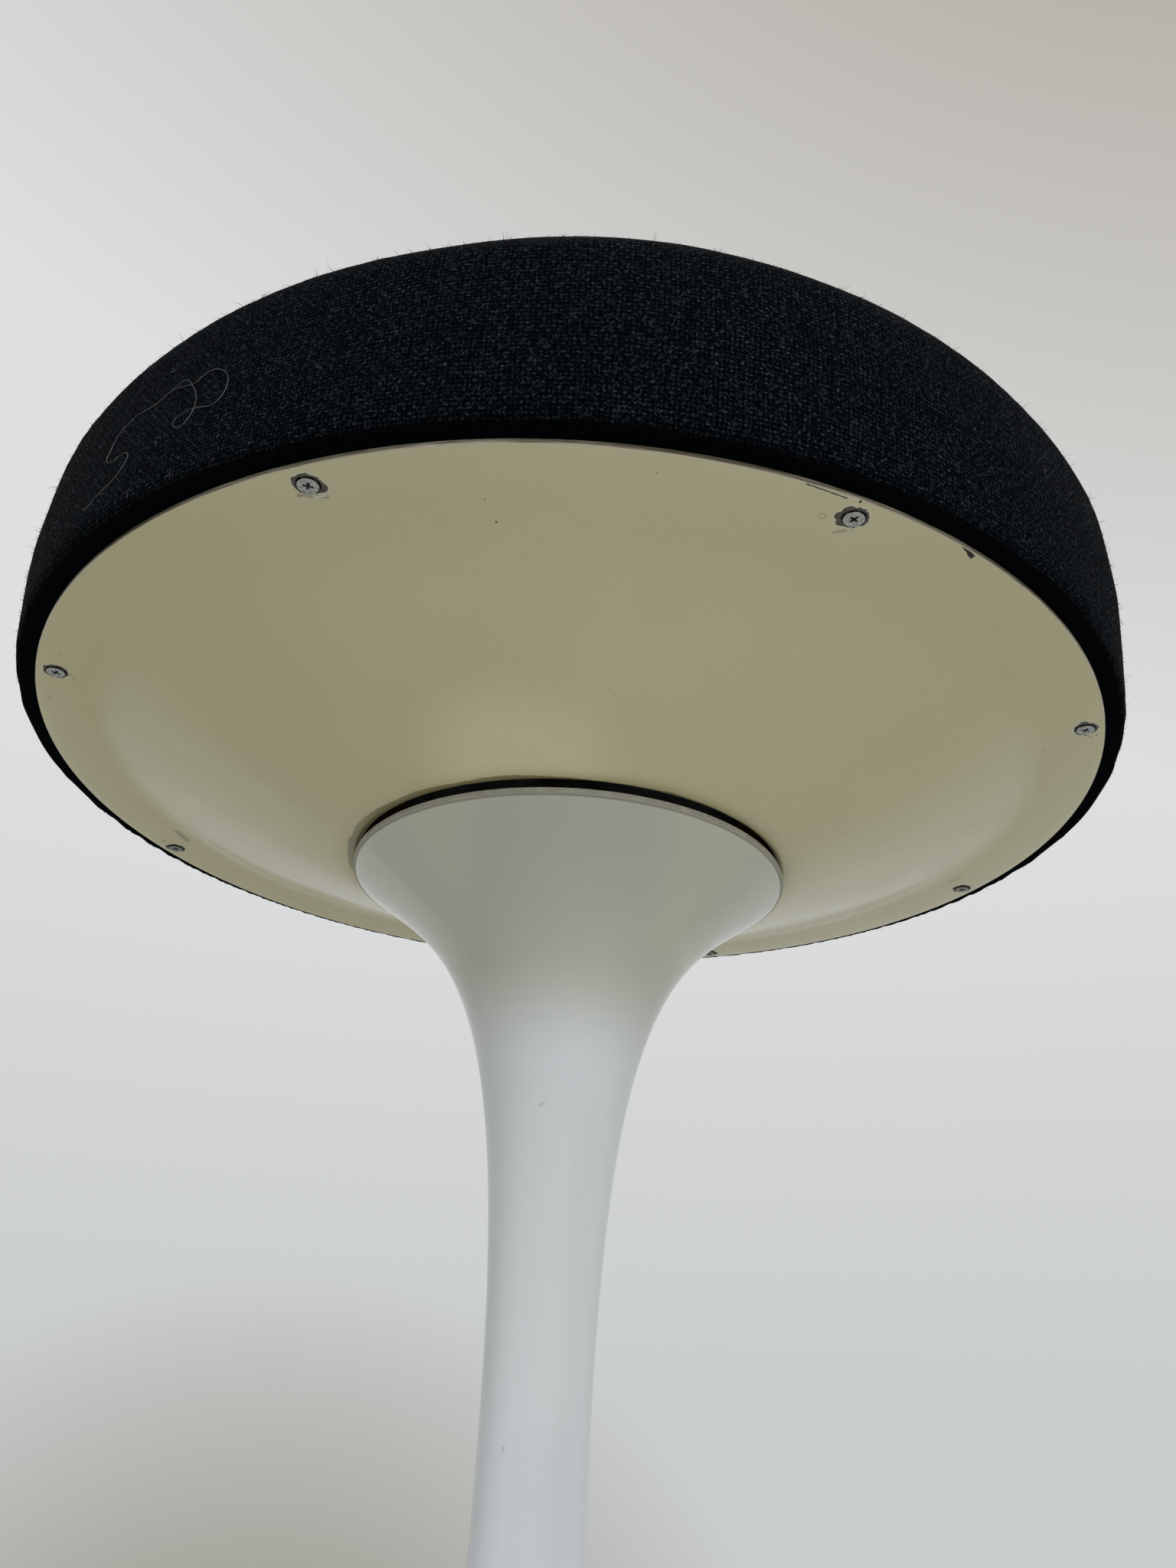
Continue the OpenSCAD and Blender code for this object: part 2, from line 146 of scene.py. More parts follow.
def soften(piece, angle=40):
    """Smooth shading, kept crisp at edges sharper than the angle."""
    only(piece)
    bpy.ops.object.shade_smooth_by_angle(angle=math.radians(angle))
    print(piece.name, len(piece.data.polygons), "faces")


print("helpers ready")

# %% [markdown]
# ## Lathe work
# The pedestal, the pan and the pad are all round about the swivel's axis. A section is drawn in
# the XZ plane as a closed line, made a mesh, and spun once round. Spinning can leave the surface
# inside out, so the doubled seam is merged first and the normals are then recalculated.

# %% Draw a section and spin it
def arc(centre, radius, start, end, steps=12):
    """Points along an arc, in degrees, with both ends."""
    turns = [math.radians(start + (end - start) * i / steps) for i in range(steps + 1)]
    return [(centre[0] + radius * math.cos(a), centre[1] + radius * math.sin(a)) for a in turns]


def cubic(handles, distance=0, steps=48):
    """Points along a cubic curve, or along its inner parallel at a distance."""
    p = np.array(handles, float)
    made = []
    for u in np.linspace(0, 1, steps + 1):
        w = 1 - u
        spot = w**3 * p[0] + 3 * w * w * u * p[1] + 3 * w * u * u * p[2] + u**3 * p[3]
        way = w * w * (p[1] - p[0]) + 2 * w * u * (p[2] - p[1]) + u * u * (p[3] - p[2])
        made.append(tuple(spot + distance * np.array([-way[1], way[0]]) / np.linalg.norm(way)))
    return made


def spun(name, outline, steps=256):
    """A closed outline of (radius, height) points, spun about the swivel's axis."""
    bpy.ops.curve.primitive_bezier_curve_add(location=(0, 0, 0))
    line = bpy.context.object
    knots = line.data.splines[0].bezier_points
    knots.add(len(outline) - 2)
    for knot, (radius, height) in zip(knots, outline):
        knot.handle_left_type = knot.handle_right_type = "VECTOR"
        knot.co = (radius * MM, 0, height * MM)
    line.data.splines[0].use_cyclic_u = True
    line.data.splines[0].resolution_u = 1
    only(line)
    bpy.ops.object.convert(target="MESH")
    piece = named(name)
    with Editing(piece):
        bpy.ops.mesh.select_all(action="SELECT")
        bpy.ops.mesh.spin(steps=steps, angle=math.tau, center=(0, 0, 0), axis=(0, 0, 1))
        bpy.ops.mesh.select_all(action="SELECT")
        bpy.ops.mesh.remove_doubles(threshold=1e-6)
        bpy.ops.mesh.normals_make_consistent(inside=False)
    return piece


print("an arc of 90 degrees has", len(arc((0, 0), 1, 0, 90)), "points")

# %% [markdown]
# ## The pedestal
# The real pedestal is one casting, ground smooth and sprayed. Its outer skin is two cubic curves
# that meet at the waist, and inside it has a wall of 5 mm, a hub that holds the bearing tube, and
# a hollow foot with a groove for the rubber ring. One closed section, spun once, gives all of it.

# %% The casting, on the lathe
foot_curve = [(FOOT_R - FOOT_ROUND, FOOT_EDGE), (33, 11), (WAIST_R, 14), (WAIST_R, WAIST_Z)]
WALL, LIP_PULL, LIP_LEAN = 5, 42, math.radians(35.6)
lip_pull = [LIP_PULL * math.cos(LIP_LEAN), LIP_PULL * math.sin(LIP_LEAN)]
flare_curve = [(WAIST_R, WAIST_Z), (WAIST_R, 274), (LIP_R - lip_pull[0], LIP_Z - lip_pull[1]), (LIP_R, LIP_Z)]
flare_inside = cubic(flare_curve, WALL)
foot_inside = cubic(foot_curve, WALL)
skin = [(FOOT_R, FOOT_BASE)] + arc((FOOT_R - FOOT_ROUND, FOOT_EDGE - FOOT_ROUND), FOOT_ROUND, 0, 90)
skin += cubic(foot_curve)[1:] + cubic(flare_curve)[1:-1]
skin += [(LIP_R - 0.1, LIP_Z - 0.12), (LIP_R, LIP_Z + 0.1), (LIP_R, LIP_TOP - 0.3), (LIP_R - 0.3, LIP_TOP)]
bowl = [(LIP_R - 5, LIP_TOP)] + [p for p in flare_inside[::-1] if HOLLOW_Z < p[1] < LIP_TOP - 1]
bowl += [(bowl[-1][0], HOLLOW_Z), (HUB_R + 2, HOLLOW_Z), (HUB_R, HOLLOW_Z + 2), (HUB_R, HUB_TOP - 1)]
bowl += [(HUB_R - 1, HUB_TOP), (SOCKET_R, HUB_TOP), (SOCKET_R, SOCKET_Z), (THROAT_R, SOCKET_Z)]
stem = [p for p in flare_inside[::-1] if WAIST_Z < p[1] < CORE_Z]
GROOVE_IN, GROOVE_OUT, GROOVE_Z = 159, 170, 3.5
under = [p for p in foot_inside[::-1] if p[1] > FOOT_BASE and p[0] < GROOVE_IN - 2]
hollow = [(THROAT_R, CORE_Z), (stem[0][0], CORE_Z)] + stem + under + [(under[-1][0], FOOT_BASE)]
groove = [(GROOVE_IN, FOOT_BASE), (GROOVE_IN, GROOVE_Z), (GROOVE_OUT, GROOVE_Z), (GROOVE_OUT, FOOT_BASE)]
whole_line = skin + bowl + hollow + groove
casting = spun("pedestal_casting", whole_line)
print("section of", len(whole_line), "points")

# %% [markdown]
# Two socket screws lock the bearing tube in the hub. Their holes run straight through the hub's
# wall, so a cylinder is laid across and cut away with a Boolean modifier.

# %% Holes for the locking screws
def cut_away(piece, cutter):
    """Cut one piece with another, which is then deleted."""
    apply(piece, "BOOLEAN", object=cutter, operation="DIFFERENCE", solver="EXACT")
    bpy.data.objects.remove(cutter)


LOCK_R, LOCK_Z, DRILL_LENGTH = 3.03, 292, 50
bpy.ops.mesh.primitive_cylinder_add(vertices=32, radius=LOCK_R * MM, depth=DRILL_LENGTH * MM,
                                    location=(0, 0, LOCK_Z * MM), rotation=(0, math.pi / 2, 0))
cut_away(casting, named("lock_drill"))
soften(casting, 35)

# %% [markdown]
# ## The pan
# The pan is pressed from sheet steel: a flat flange, a shallow cone, and a hole whose edge is
# rolled upwards. On the real stool the flange lifts by half a millimetre at its rim, where it
# presses into the cloth, and the sheared edge is slightly rounded.

# %% The pressed pan
NECK_BEND, FLANGE_BEND, NECK_SLOPE, HOLE_ROLL, FLAT_R = 34, 30, 7, 2.5, 172.5
HOLE_Z, RIM_LIFT = 312.2, 0.5
neck_way = math.radians(NECK_SLOPE)
roll_c = (HOLE_R + HOLE_ROLL, HOLE_Z + HOLE_ROLL)
neck_reach = NECK_BEND - HOLE_ROLL
neck_c = (roll_c[0] - neck_reach * math.sin(neck_way), roll_c[1] + neck_reach * math.cos(neck_way))
gap = (FLAT_R - neck_c[0], PAN_Z - FLANGE_BEND - neck_c[1])
cone_len = math.sqrt(gap[0] ** 2 + gap[1] ** 2 - (FLANGE_BEND + NECK_BEND) ** 2)
dish = math.degrees(math.atan2(gap[1], gap[0]) + math.atan2(FLANGE_BEND + NECK_BEND, cone_len))


def pan_face(t, rim_r):
    """The pan's section from its rim to its hole, raised by t, with the rim lifted a little."""
    rim = [(rim_r, PAN_Z + t + RIM_LIFT), (188.5, PAN_Z + t + RIM_LIFT * 0.6), (186.6, PAN_Z + t)]
    line = rim + arc((FLAT_R, PAN_Z - FLANGE_BEND), FLANGE_BEND + t, 90, 90 + dish)
    line += arc(neck_c, NECK_BEND - t, dish - 90, NECK_SLOPE - 90)
    return line + arc(roll_c, HOLE_ROLL - t, NECK_SLOPE - 90, -180)


rim_edge = [(PAN_R, PAN_Z + PAN_T + 0.4), (PAN_R, PAN_Z + 0.8)]
pan = spun("pressed_pan", pan_face(0, PAN_R - 0.25) + pan_face(PAN_T, PAN_R - 0.2)[::-1] + rim_edge)
print("the cone of the dish slopes", round(dish, 1), "degrees")

# %% [markdown]
# ## The countersunk screws
# Eight screws with cross recesses hold the pan. One is modelled: a cone for the head, extruded on
# into its shank, with a rounded rim. The recess is a small block whose four sides are drawn out
# into arms and whose deep end is tapered, so the tip of a driver would fit. It is cut away from
# the head. A wider cone of the same slope cuts each screw's seat in the flange. The heads were
# not driven home: they stand half a millimetre proud, and a gap shows round each one, darkened
# with painted shade on the seat's wall and the head's side.

# %% One screw
HEAD_R, SHANK_R, HEAD_H, SCREW_LEN = 3.0, 1.75, 1.2, 13


def cone(name, low_r, high_r, low_z, height, sides=48):
    """A cone about the swivel's axis, by its radii, its lower end and its height."""
    middle = (0, 0, (low_z + height / 2) * MM)
    bpy.ops.mesh.primitive_cone_add(vertices=sides, radius1=low_r * MM, radius2=high_r * MM,
                                    depth=height * MM, location=middle)
    return named(name)


screw = cone("pan_screw", HEAD_R, SHANK_R, 0, HEAD_H)
with Editing(screw) as bench:
    bench.pick("faces", lambda p: p.z > HEAD_H - 0.01)
    bpy.ops.mesh.extrude_region_move(TRANSFORM_OT_translate={"value": (0, 0, (SCREW_LEN - HEAD_H) * MM)})
    bench.pick("edges", lambda p: p.z < 0.01)
    bpy.ops.mesh.bevel(offset=0.22 * MM, segments=3)
    bench.pick("faces", lambda p: p.z < 0.001)
    bpy.ops.mesh.inset(thickness=0.9 * MM)
print("screw drawn,", len(screw.data.polygons), "faces")

# %% The recess, and the screws in their places
TIP, ARM, TAPER = 1.1, 1.5, 0.42
bpy.ops.mesh.primitive_cube_add(size=TIP * MM, location=(0, 0, 0))
cross = named("cross_tip")
with Editing(cross) as bench:
    for x, y in ((1, 0), (-1, 0), (0, 1), (0, -1)):
        bench.pick("faces", lambda p: p.x * x + p.y * y > 0.5 and abs(p.x * y) + abs(p.y * x) + abs(p.z) < 0.1)
        bpy.ops.mesh.extrude_region_move(TRANSFORM_OT_translate={"value": (ARM * x * MM, ARM * y * MM, 0)})
    bench.pick("verts", lambda p: True)
    bpy.ops.transform.resize(value=(1, 1, 2))
    bench.pick("verts", lambda p: p.z > 0.5)
    bpy.ops.transform.resize(value=(TAPER, TAPER, 1), center_override=(0, 0, 0))
cut_away(screw, cross)
soften(screw, 30)

screw_turns = [31, 12, 50, 5, 71, 22, 38, 14]
seat_shape = cone("seat_cone", HEAD_R + 1.5, SHANK_R + 0.1, -0.6, 2.5)
for k in range(8):
    driven = bpy.data.objects.new(f"pan_screw_{k + 1}", screw.data.copy())
    seat = bpy.data.objects.new(f"seat_cone_{k + 1}", seat_shape.data.copy())
    for copy, turn in ((driven, math.radians(screw_turns[k])), (seat, 0)):
        bpy.context.collection.objects.link(copy)
        copy.rotation_euler = (0, 0, turn)
        only(copy)
        bpy.ops.object.transform_apply(rotation=True)
        copy.location = (SCREW_RING * MM, 0, SCREW_Z * MM)
        bpy.ops.object.transform_apply(location=True)
        copy.rotation_euler = (0, 0, math.radians(SCREW_TURN + 45 * k))
        bpy.ops.object.transform_apply(rotation=True)
    cut_away(pan, seat)
bpy.data.objects.remove(seat_shape)
bpy.data.objects.remove(screw)
soften(pan, 30)
screws = [bpy.data.objects[f"pan_screw_{k + 1}"] for k in range(8)]

# %% [markdown]
# ## The cushion
# The pad is a drum of foam with a woven wool cover pulled tight over it. A strip goes round the
# side and a disc closes the top, with a plain seam on the upper shoulder. The pad is spun from
# its measured section and remeshed into even squares, which a cloth simulation needs.

# %% The drum, in even squares
SQUARE = 5.5
crown_lean = math.radians(CROWN_SLOPE)
crown_r = (SHOULDER[0] + SHOULDER[2] * math.sin(crown_lean)) / math.sin(crown_lean)
crown_z = SHOULDER[1] + (SHOULDER[2] - crown_r) * math.cos(crown_lean)


def pad_outline(t, floor_z):
    """The pad's section, drawn in by t, from the axis along the bottom, round the side and back."""
    rise = SHOULDER[1] - TUCK[1]
    side = [(SIDE_R - t + SWELL * math.sin(math.pi * s / 8), TUCK[1] + rise * s / 8) for s in range(1, 8)]
    line = [(0, floor_z)] + arc(TUCK, max(TUCK[2] - t, 1), -90, 0) + side
    line += arc(SHOULDER, SHOULDER[2] - t, 0, 90 - CROWN_SLOPE)
    return line + arc((0, crown_z), crown_r - t, 90 - CROWN_SLOPE * 0.92, 90)


section = pad_outline(0, TUCK[1] - TUCK[2])
drum = spun("seat_cushion", section, 128)
only(drum)
drum.data.remesh_voxel_size = SQUARE * MM
bpy.ops.object.voxel_remesh()
apply(drum, "SMOOTH", factor=0.5, iterations=3)
print("drum of", len(drum.data.vertices), "points")

# %% [markdown]
# A short cloth simulation blows the drum up like a tight cover, with its hem pinned.

# %% Blow the drum up like a tight cover
CAP = 0.45


def points(piece):
    """The piece's points as rows of x, y, z, in mm."""
    flat = np.empty(len(piece.data.vertices) * 3)
    piece.data.vertices.foreach_get("co", flat)
    return flat.reshape(-1, 3) / MM


def move_points(piece, rows):
    """Put the piece's points at these rows."""
    piece.data.vertices.foreach_set("co", (rows * MM).ravel())
    piece.data.update()


blown = before = points(drum)
held = drum.vertex_groups.new(name="held")
held.add([i for i, p in enumerate(before) if p[2] < before[:, 2].min() + 1.5], 1.0, "REPLACE")
cloth = drum.modifiers.new("cover", "CLOTH")
cloth.settings.use_pressure = True
cloth.settings.uniform_pressure_force = 1.5
cloth.settings.effector_weights.gravity = 0
cloth.settings.vertex_group_mass = "held"
for step in range(1, 21):
    bpy.context.scene.frame_set(step)
after = drum.evaluated_get(bpy.context.evaluated_depsgraph_get())
blown = points(after)
bpy.context.scene.frame_set(1)
drum.modifiers.clear()
drum.vertex_groups.clear()
print("largest swelling:", round(float(np.linalg.norm(blown - before, axis=1).max()), 2), "mm")

# %% [markdown]
# A free balloon would become far rounder than the pad, whose foam is cut to a drum. So each point
# goes home to the measured section, and keeps only what sets its swelling apart from that of the
# other points at the same place of the section: the slight unevenness of the pulled cloth.

# %% Send the points home
SPLIT = 24
ends = np.array(section)
dense = np.concatenate([np.linspace(a, b, SPLIT, endpoint=False) for a, b in zip(ends[:-1], ends[1:])])


def in_section(rows):
    """Radius and height of each row."""
    return np.column_stack([np.hypot(rows[:, 0], rows[:, 1]), rows[:, 2]])


flat_before, flat_blown = in_section(before), in_section(blown)
nearest = np.array([np.argmin(((dense - spot) ** 2).sum(axis=1)) for spot in flat_before])
home = dense[nearest]
swelling = flat_blown - flat_before
for place in range(0, len(dense), SPLIT):
    there = (nearest >= place) & (nearest < place + SPLIT)
    if there.any():
        swelling[there] -= np.median(swelling[there], axis=0)
size = np.linalg.norm(swelling, axis=1)
swelling *= np.minimum(1, CAP / np.maximum(size, 1e-6))[:, None]
home = home + swelling
scale = home[:, 0] / np.maximum(flat_before[:, 0], 1e-6)
move_points(drum, np.column_stack([before[:, :2] * scale[:, None], home[:, 1]]))
print("kept unevenness:", round(float(size.mean()), 2), "mm on average")

# %% [markdown]
# Pulled by hand, such a cover is never a perfect circle. Its radius, followed round the edge,
# wanders by two to four millimetres, and that wander is given here by a short list of angles.
# The underside lies on the pan's flange and follows its lifted rim. One subdivision makes the
# surface smooth.

# %% Let the drum wander a little and sit flat
wander_at = [*range(-180, 1, 15), 50, 90, 130, 180]
wander_by = [-0.1, 3, 2.1, -0.7, -0.7, 0.2, 3.5, 3.5, 2.3, 1.6, 3.9, -2, 0, 0.6, -0.4, 0.5, -0.1]
smooth_at = np.linspace(-180, 180, 721)
smooth_by = np.interp(smooth_at, wander_at, wander_by)[:-1]
window = np.hanning(61) / np.hanning(61).sum()
smooth_by = np.convolve(np.tile(smooth_by, 3), window, "same")[720:1441]


def looseness(height):
    """0 at the board, where the cloth is held, and 1 from 30 mm above it."""
    return np.clip((height - 350) / 30, 0, 1)


def wander(piece):
    """Let the piece's side wander in and out, and lay its bottom on the pan."""
    spots = points(piece)
    turn = np.degrees(np.arctan2(spots[:, 1], spots[:, 0]))
    radius = np.hypot(spots[:, 0], spots[:, 1])
    share = looseness(spots[:, 2]) * np.clip((radius - 100) / 90, 0, 1)
    spots[:, :2] *= (1 + share * np.interp(turn, smooth_at, smooth_by) / np.maximum(radius, 1))[:, None]
    floor_z = PAN_Z + PAN_T + 0.05 + RIM_LIFT * np.clip((radius - 184) / 6, 0, 1)
    spots[:, 2] = np.maximum(spots[:, 2], floor_z)
    move_points(piece, spots)
    up, out = float(spots[:, 2].max()), float(radius.max())
    print(piece.name, "reaches", round(up, 1), "mm up and", round(out, 1), "mm out")


apply(drum, "SUBSURF", levels=1, render_levels=1)
wander(drum)

# %% [markdown]
# The strip and the disc of cloth meet in a seam just inside the shoulder. The mesh is cut level
# there, and just above and below, and a narrow groove in a shallow dip is pressed in along the cut,
# as the thread pulls the two edges down. The bottom is opened inside the hem, where the board
# lies, and Solidify gives the cloth its thickness.

# %% The seam, the hem and the thickness of the cloth
GROOVE_RISE, GROOVE_DEEP, DIP_DEEP, DIP_WIDE = 0.35, 0.7, 0.45, 3
SEAM_TURN = math.radians(70)
SEAM_R = SHOULDER[0] + SHOULDER[2] * math.cos(SEAM_TURN)
SEAM_Z = SHOULDER[1] + SHOULDER[2] * math.sin(SEAM_TURN)
with Editing(drum) as bench:
    for height in (SEAM_Z - GROOVE_RISE, SEAM_Z, SEAM_Z + GROOVE_RISE):
        bpy.ops.mesh.select_all(action="SELECT")
        bpy.ops.mesh.bisect(plane_co=(0, 0, height * MM), plane_no=(0, 0, 1))
    bench.pick("faces", lambda p: p.z < BOARD_Z + 1 and math.hypot(p.x, p.y) < HEM_R)
    bpy.ops.mesh.delete(type="FACE")
spots = points(drum)
apart = (spots[:, 2] - SEAM_Z) / math.cos(SEAM_TURN)
press = GROOVE_DEEP * np.clip(1 - np.abs(apart), 0, 1) + DIP_DEEP * np.exp(-(apart / DIP_WIDE) ** 2)
outward = spots[:, :2] / np.maximum(np.hypot(spots[:, 0], spots[:, 1]), 1)[:, None]
spots[:, :2] -= outward * (press * math.cos(SEAM_TURN))[:, None]
spots[:, 2] -= press * math.sin(SEAM_TURN)
move_points(drum, spots)
apply(drum, "SOLIDIFY", thickness=1.0 * MM, offset=-1)
soften(drum, 80)

# %% [markdown]
# The weave must follow the cloth, so it gets its own UV map, counted in threads: 952 threads go
# round the side, about 1.3 mm apart, and the rows are 1.36 mm apart down the side. On the top
# disc the threads run straight across. The strip's map is worked out face by face, so that the
# last face before the joint doesn't run back through all the threads.

# %% Threads as a UV map
THREADS_ROUND, THREAD, ROW, SEAM_SHARE = 952, 1.32, 1.36, 0.92


def strip_length(radius, height):
    """How far down the strip a point lies, in mm, measured along its section."""
    if height > SHOULDER[1]:
        return SHOULDER[1] + SHOULDER[2] * math.atan2(height - SHOULDER[1], max(radius - SHOULDER[0], 0.01))
    if height > TUCK[1]:
        return height
    if radius > TUCK[0]:
        return TUCK[1] - TUCK[2] * math.atan2(TUCK[1] - height, radius - TUCK[0])
    return TUCK[1] - TUCK[2] * math.pi / 2 - (TUCK[0] - radius)


def lay_threads(piece):
    """Write the UV map called threads on this piece."""
    rows = points(piece)
    layer = piece.data.uv_layers.new(name="threads")
    seam_reach = SEAM_R - 0.15 + SEAM_SHARE * smooth_by
    for face in piece.data.polygons:
        around = rows[list(face.vertices)]
        middle = around.mean(axis=0)
        home = math.atan2(middle[1], middle[0])
        seam_here = np.interp(math.degrees(home), smooth_at, seam_reach)
        disc = middle[2] > SEAM_Z - 2.5 and math.hypot(middle[0], middle[1]) < seam_here
        for loop, (x, y, z) in zip(face.loop_indices, around):
            if disc:
                layer.data[loop].uv = (x / THREAD, y / ROW)
                continue
            swing = (math.atan2(y, x) - home + math.pi) % math.tau - math.pi
            thread = (home + swing) / math.tau * THREADS_ROUND
            layer.data[loop].uv = (thread, strip_length(math.hypot(x, y), z) / ROW)


lay_threads(drum)
print("threads laid on", len(drum.data.uv_layers["threads"].data), "corners")

# %% [markdown]
# ## The foam
# Inside the cover is a firm block of foam with a pocket for the plywood board. It hardly shows,
# but the cover is only a skin, so the block is spun from the same outline, drawn in further.

# %% The block of foam
FOAM_IN, FOAM_LOW, POCKET_R = 3.2, 350, BOARD_R + 0.2
foam_line = [(0, BOARD_TOP), (POCKET_R, BOARD_TOP), (POCKET_R, FOAM_LOW)] + pad_outline(FOAM_IN, FOAM_LOW)[1:]
foam = spun("foam_block", foam_line, 180)
with Editing(foam):
    bpy.ops.mesh.select_all(action="SELECT")
    bpy.ops.mesh.remove_doubles(threshold=0.05 * MM)
wander(foam)
soften(foam, 40)

# %% [markdown]
# ## Fibres and lint
# Wool sheds: long and short fine fibres stand off the whole cover and catch the light at its edge,
# a few pale bits of lint lie on it, and one long curled fibre clings to the left. Thousands of
# strands are too many to make by hand, so one loop bends a three-sided strand at each spot that
# a seeded random draw picks, and each batch becomes one mesh.

# %% Fine fibres all over the cover
THIRDS = (0, 2.094, 4.189)
rng = np.random.default_rng(7)


def strand(start, way, lift, length, thick, curl, joints=4):
    """Points and faces of one bent three-sided strand, in mm."""
    side = np.cross(way, lift)
    spots, faces, spot, along = [], [], np.array(start, float), np.array(way, float)
    for j in range(joints + 1):
        wide = thick * (1 - 0.75 * j / joints)
        for turn in THIRDS:
            spots.append(spot + wide * (math.cos(turn) * lift + math.sin(turn) * side))
        spot = spot + along * length / joints
        along = along + lift * curl[0] + side * curl[1]
        along = along / np.linalg.norm(along)
    for j in range(joints):
        for a in range(3):
            b = (a + 1) % 3
            faces.append((3 * j + b, 3 * j + a, 3 * j + 3 + a, 3 * j + 3 + b))
    return spots, faces


def add_strand(spots, faces, *bent):
    """Bend one more strand and add it to the lists of points and faces."""
    more, sides = strand(*bent)
    faces += [tuple(len(spots) + v for v in side) for side in sides]
    spots += more


def as_piece(name, spots, faces):
    """A piece from its points, in mm, and its faces."""
    mesh = bpy.data.meshes.new(name)
    mesh.from_pydata([tuple(spot * MM) for spot in spots], [], faces)
    made = bpy.data.objects.new(name, mesh)
    bpy.context.collection.objects.link(made)
    print(name, len(faces), "faces")
    return made


def strands_on(name, piece, count, lengths, thick, lean, curl):
    """Strands at random spots of the piece's outer skin, as one mesh."""
    core = Vector((0, 0, 385)) * MM
    skin_faces = [f for f in piece.data.polygons if f.normal.dot(f.center - core) > 0 and f.center.z > 349 * MM]
    areas = np.array([f.area for f in skin_faces])
    spots, faces = [], []
    for f in (skin_faces[i] for i in rng.choice(len(skin_faces), count, p=areas / areas.sum())):
        corners = [np.array(piece.data.vertices[v].co) / MM for v in f.vertices]
        mix = rng.dirichlet(np.ones(len(corners)))
        root = sum(m * c for m, c in zip(mix, corners))
        up = np.array(f.normal)
        spin = rng.normal(size=3)
        flat_way = np.cross(up, spin)
        flat_way /= np.linalg.norm(flat_way)
        rise = rng.uniform(*lean)
        way = flat_way * math.cos(rise) + up * math.sin(rise)
        lift = up * math.cos(rise) - flat_way * math.sin(rise)
        length = lengths[0] + (lengths[1] - lengths[0]) * rng.random() ** 2.5
        bend = rng.normal(size=2) * curl
        add_strand(spots, faces, root - up * 0.05, way, lift, length, thick * rng.uniform(0.7, 1.3), bend)
    return as_piece(name, spots, faces)


fuzz = strands_on("wool_fuzz", drum, 7800, (0.9, 4.0), 0.08, (0.2, 1.3), 0.75)
lint = strands_on("pale_lint", drum, 170, (0.5, 3.0), 0.045, (0.0, 0.3), 0.8)
short_fuzz = strands_on("short_fuzz", drum, 7800, (0.5, 2.0), 0.06, (0.3, 1.4), 1.1)

# %% [markdown]
# Some bits of lint lie where the photograph shows them. Each place is given by the angle round the
# drum, the height and the number of strands, and a small function finds how far out the cloth is
# there.

# %% Tufts of lint at their places
def cloth_spot(angle, height, off):
    """The spot on the cloth at this angle and height, lifted off it by a little, in mm."""
    if height > SHOULDER[1]:
        out = SHOULDER[0] + math.sqrt(max(SHOULDER[2] ** 2 - (height - SHOULDER[1]) ** 2, 0))
    elif height < TUCK[1]:
        out = TUCK[0] + math.sqrt(max(TUCK[2] ** 2 - (TUCK[1] - height) ** 2, 0))
    else:
        out = SIDE_R + SWELL * math.sin(math.pi * (height - TUCK[1]) / (SHOULDER[1] - TUCK[1]))
    out += off + float(looseness(height) * np.interp(angle, smooth_at, smooth_by))
    turn = math.radians(angle)
    return np.array([out * math.cos(turn), out * math.sin(turn), height])


tuft_places = [(-126.8, 365.6, 12), (-127.8, 393.8, 6), (-126.2, 399.4, 3), (-124.1, 350.6, 4), (-123.9, 355.9, 2),
               (-123.5, 353.6, 2), (-128.5, 351.8, 3), (-119.3, 354.7, 2), (-83.1, 375.9, 3), (-82.2, 367.6, 2),
               (-93.8, 403, 4)]
tuft_spots, tuft_faces = [], []
for angle, height, count in tuft_places:
    for _ in range(count):
        root = cloth_spot(angle + rng.normal() * 0.22, height + rng.normal() * 0.9, 0.12)
        up = np.array([root[0], root[1], 0]) / math.hypot(root[0], root[1])
        level_way = np.array([-up[1], up[0], 0])
        lean = rng.uniform(0, math.tau)
        way = level_way * math.cos(lean) + np.array([0, 0, 1]) * math.sin(lean)
        length = rng.uniform(0.6, 1.9)
        add_strand(tuft_spots, tuft_faces, root, way, up, length, 0.045, (0.0, rng.normal() * 0.9), 7)
lint_tufts = as_piece("lint_tufts", tuft_spots, tuft_faces)

# %% [markdown]
# One long fibre clings to the left of the drum, doubled back on itself in three loops. It is a
# curve through spots on the cloth, a hair above it. A thin bevel makes it round, and it is then
# made a mesh.

# %% The long curled fibre
FIBRE_R, FIBRE_OFF = 0.06, 0.3
fibre_path = [(-136, 356.4), (-135.2, 356.4), (-134.6, 357.7), (-133.5, 358.4), (-132.2, 359.4), (-131.2, 361.8),
              (-130.7, 364), (-130.5, 366.2), (-130.9, 368.2), (-131.7, 369.3), (-132.4, 368.9), (-133.4, 369.1),
              (-134.2, 370.2), (-134.5, 372.5), (-134.2, 374.9), (-134, 378.1), (-133.5, 380.8), (-132.3, 381.9),
              (-131.4, 383.3), (-129.9, 382.5), (-128.5, 382.4), (-127.6, 383.6), (-126.8, 384.4), (-126, 385.6),
              (-125.1, 385.6), (-124.3, 382.1), (-123.3, 376.6), (-123, 372.7), (-123.2, 368.9), (-123.8, 366.2),
              (-124.6, 366.2), (-125.3, 368.1), (-125.2, 370.3), (-124.4, 371.3), (-123.4, 371.3), (-122.4, 370.5),
              (-121.3, 369), (-120.5, 369.5), (-120, 371.9), (-119.9, 375.5), (-120.1, 378.7), (-120.8, 381.7),
              (-121.9, 384.1), (-122.9, 384.1), (-123.6, 382.4), (-124.2, 381.7), (-125.6, 383.5), (-126.6, 384.3),
              (-127.5, 383.8)]
bpy.ops.curve.primitive_nurbs_path_add(location=(0, 0, 0))
fibre = bpy.context.object
knots = fibre.data.splines[0].points
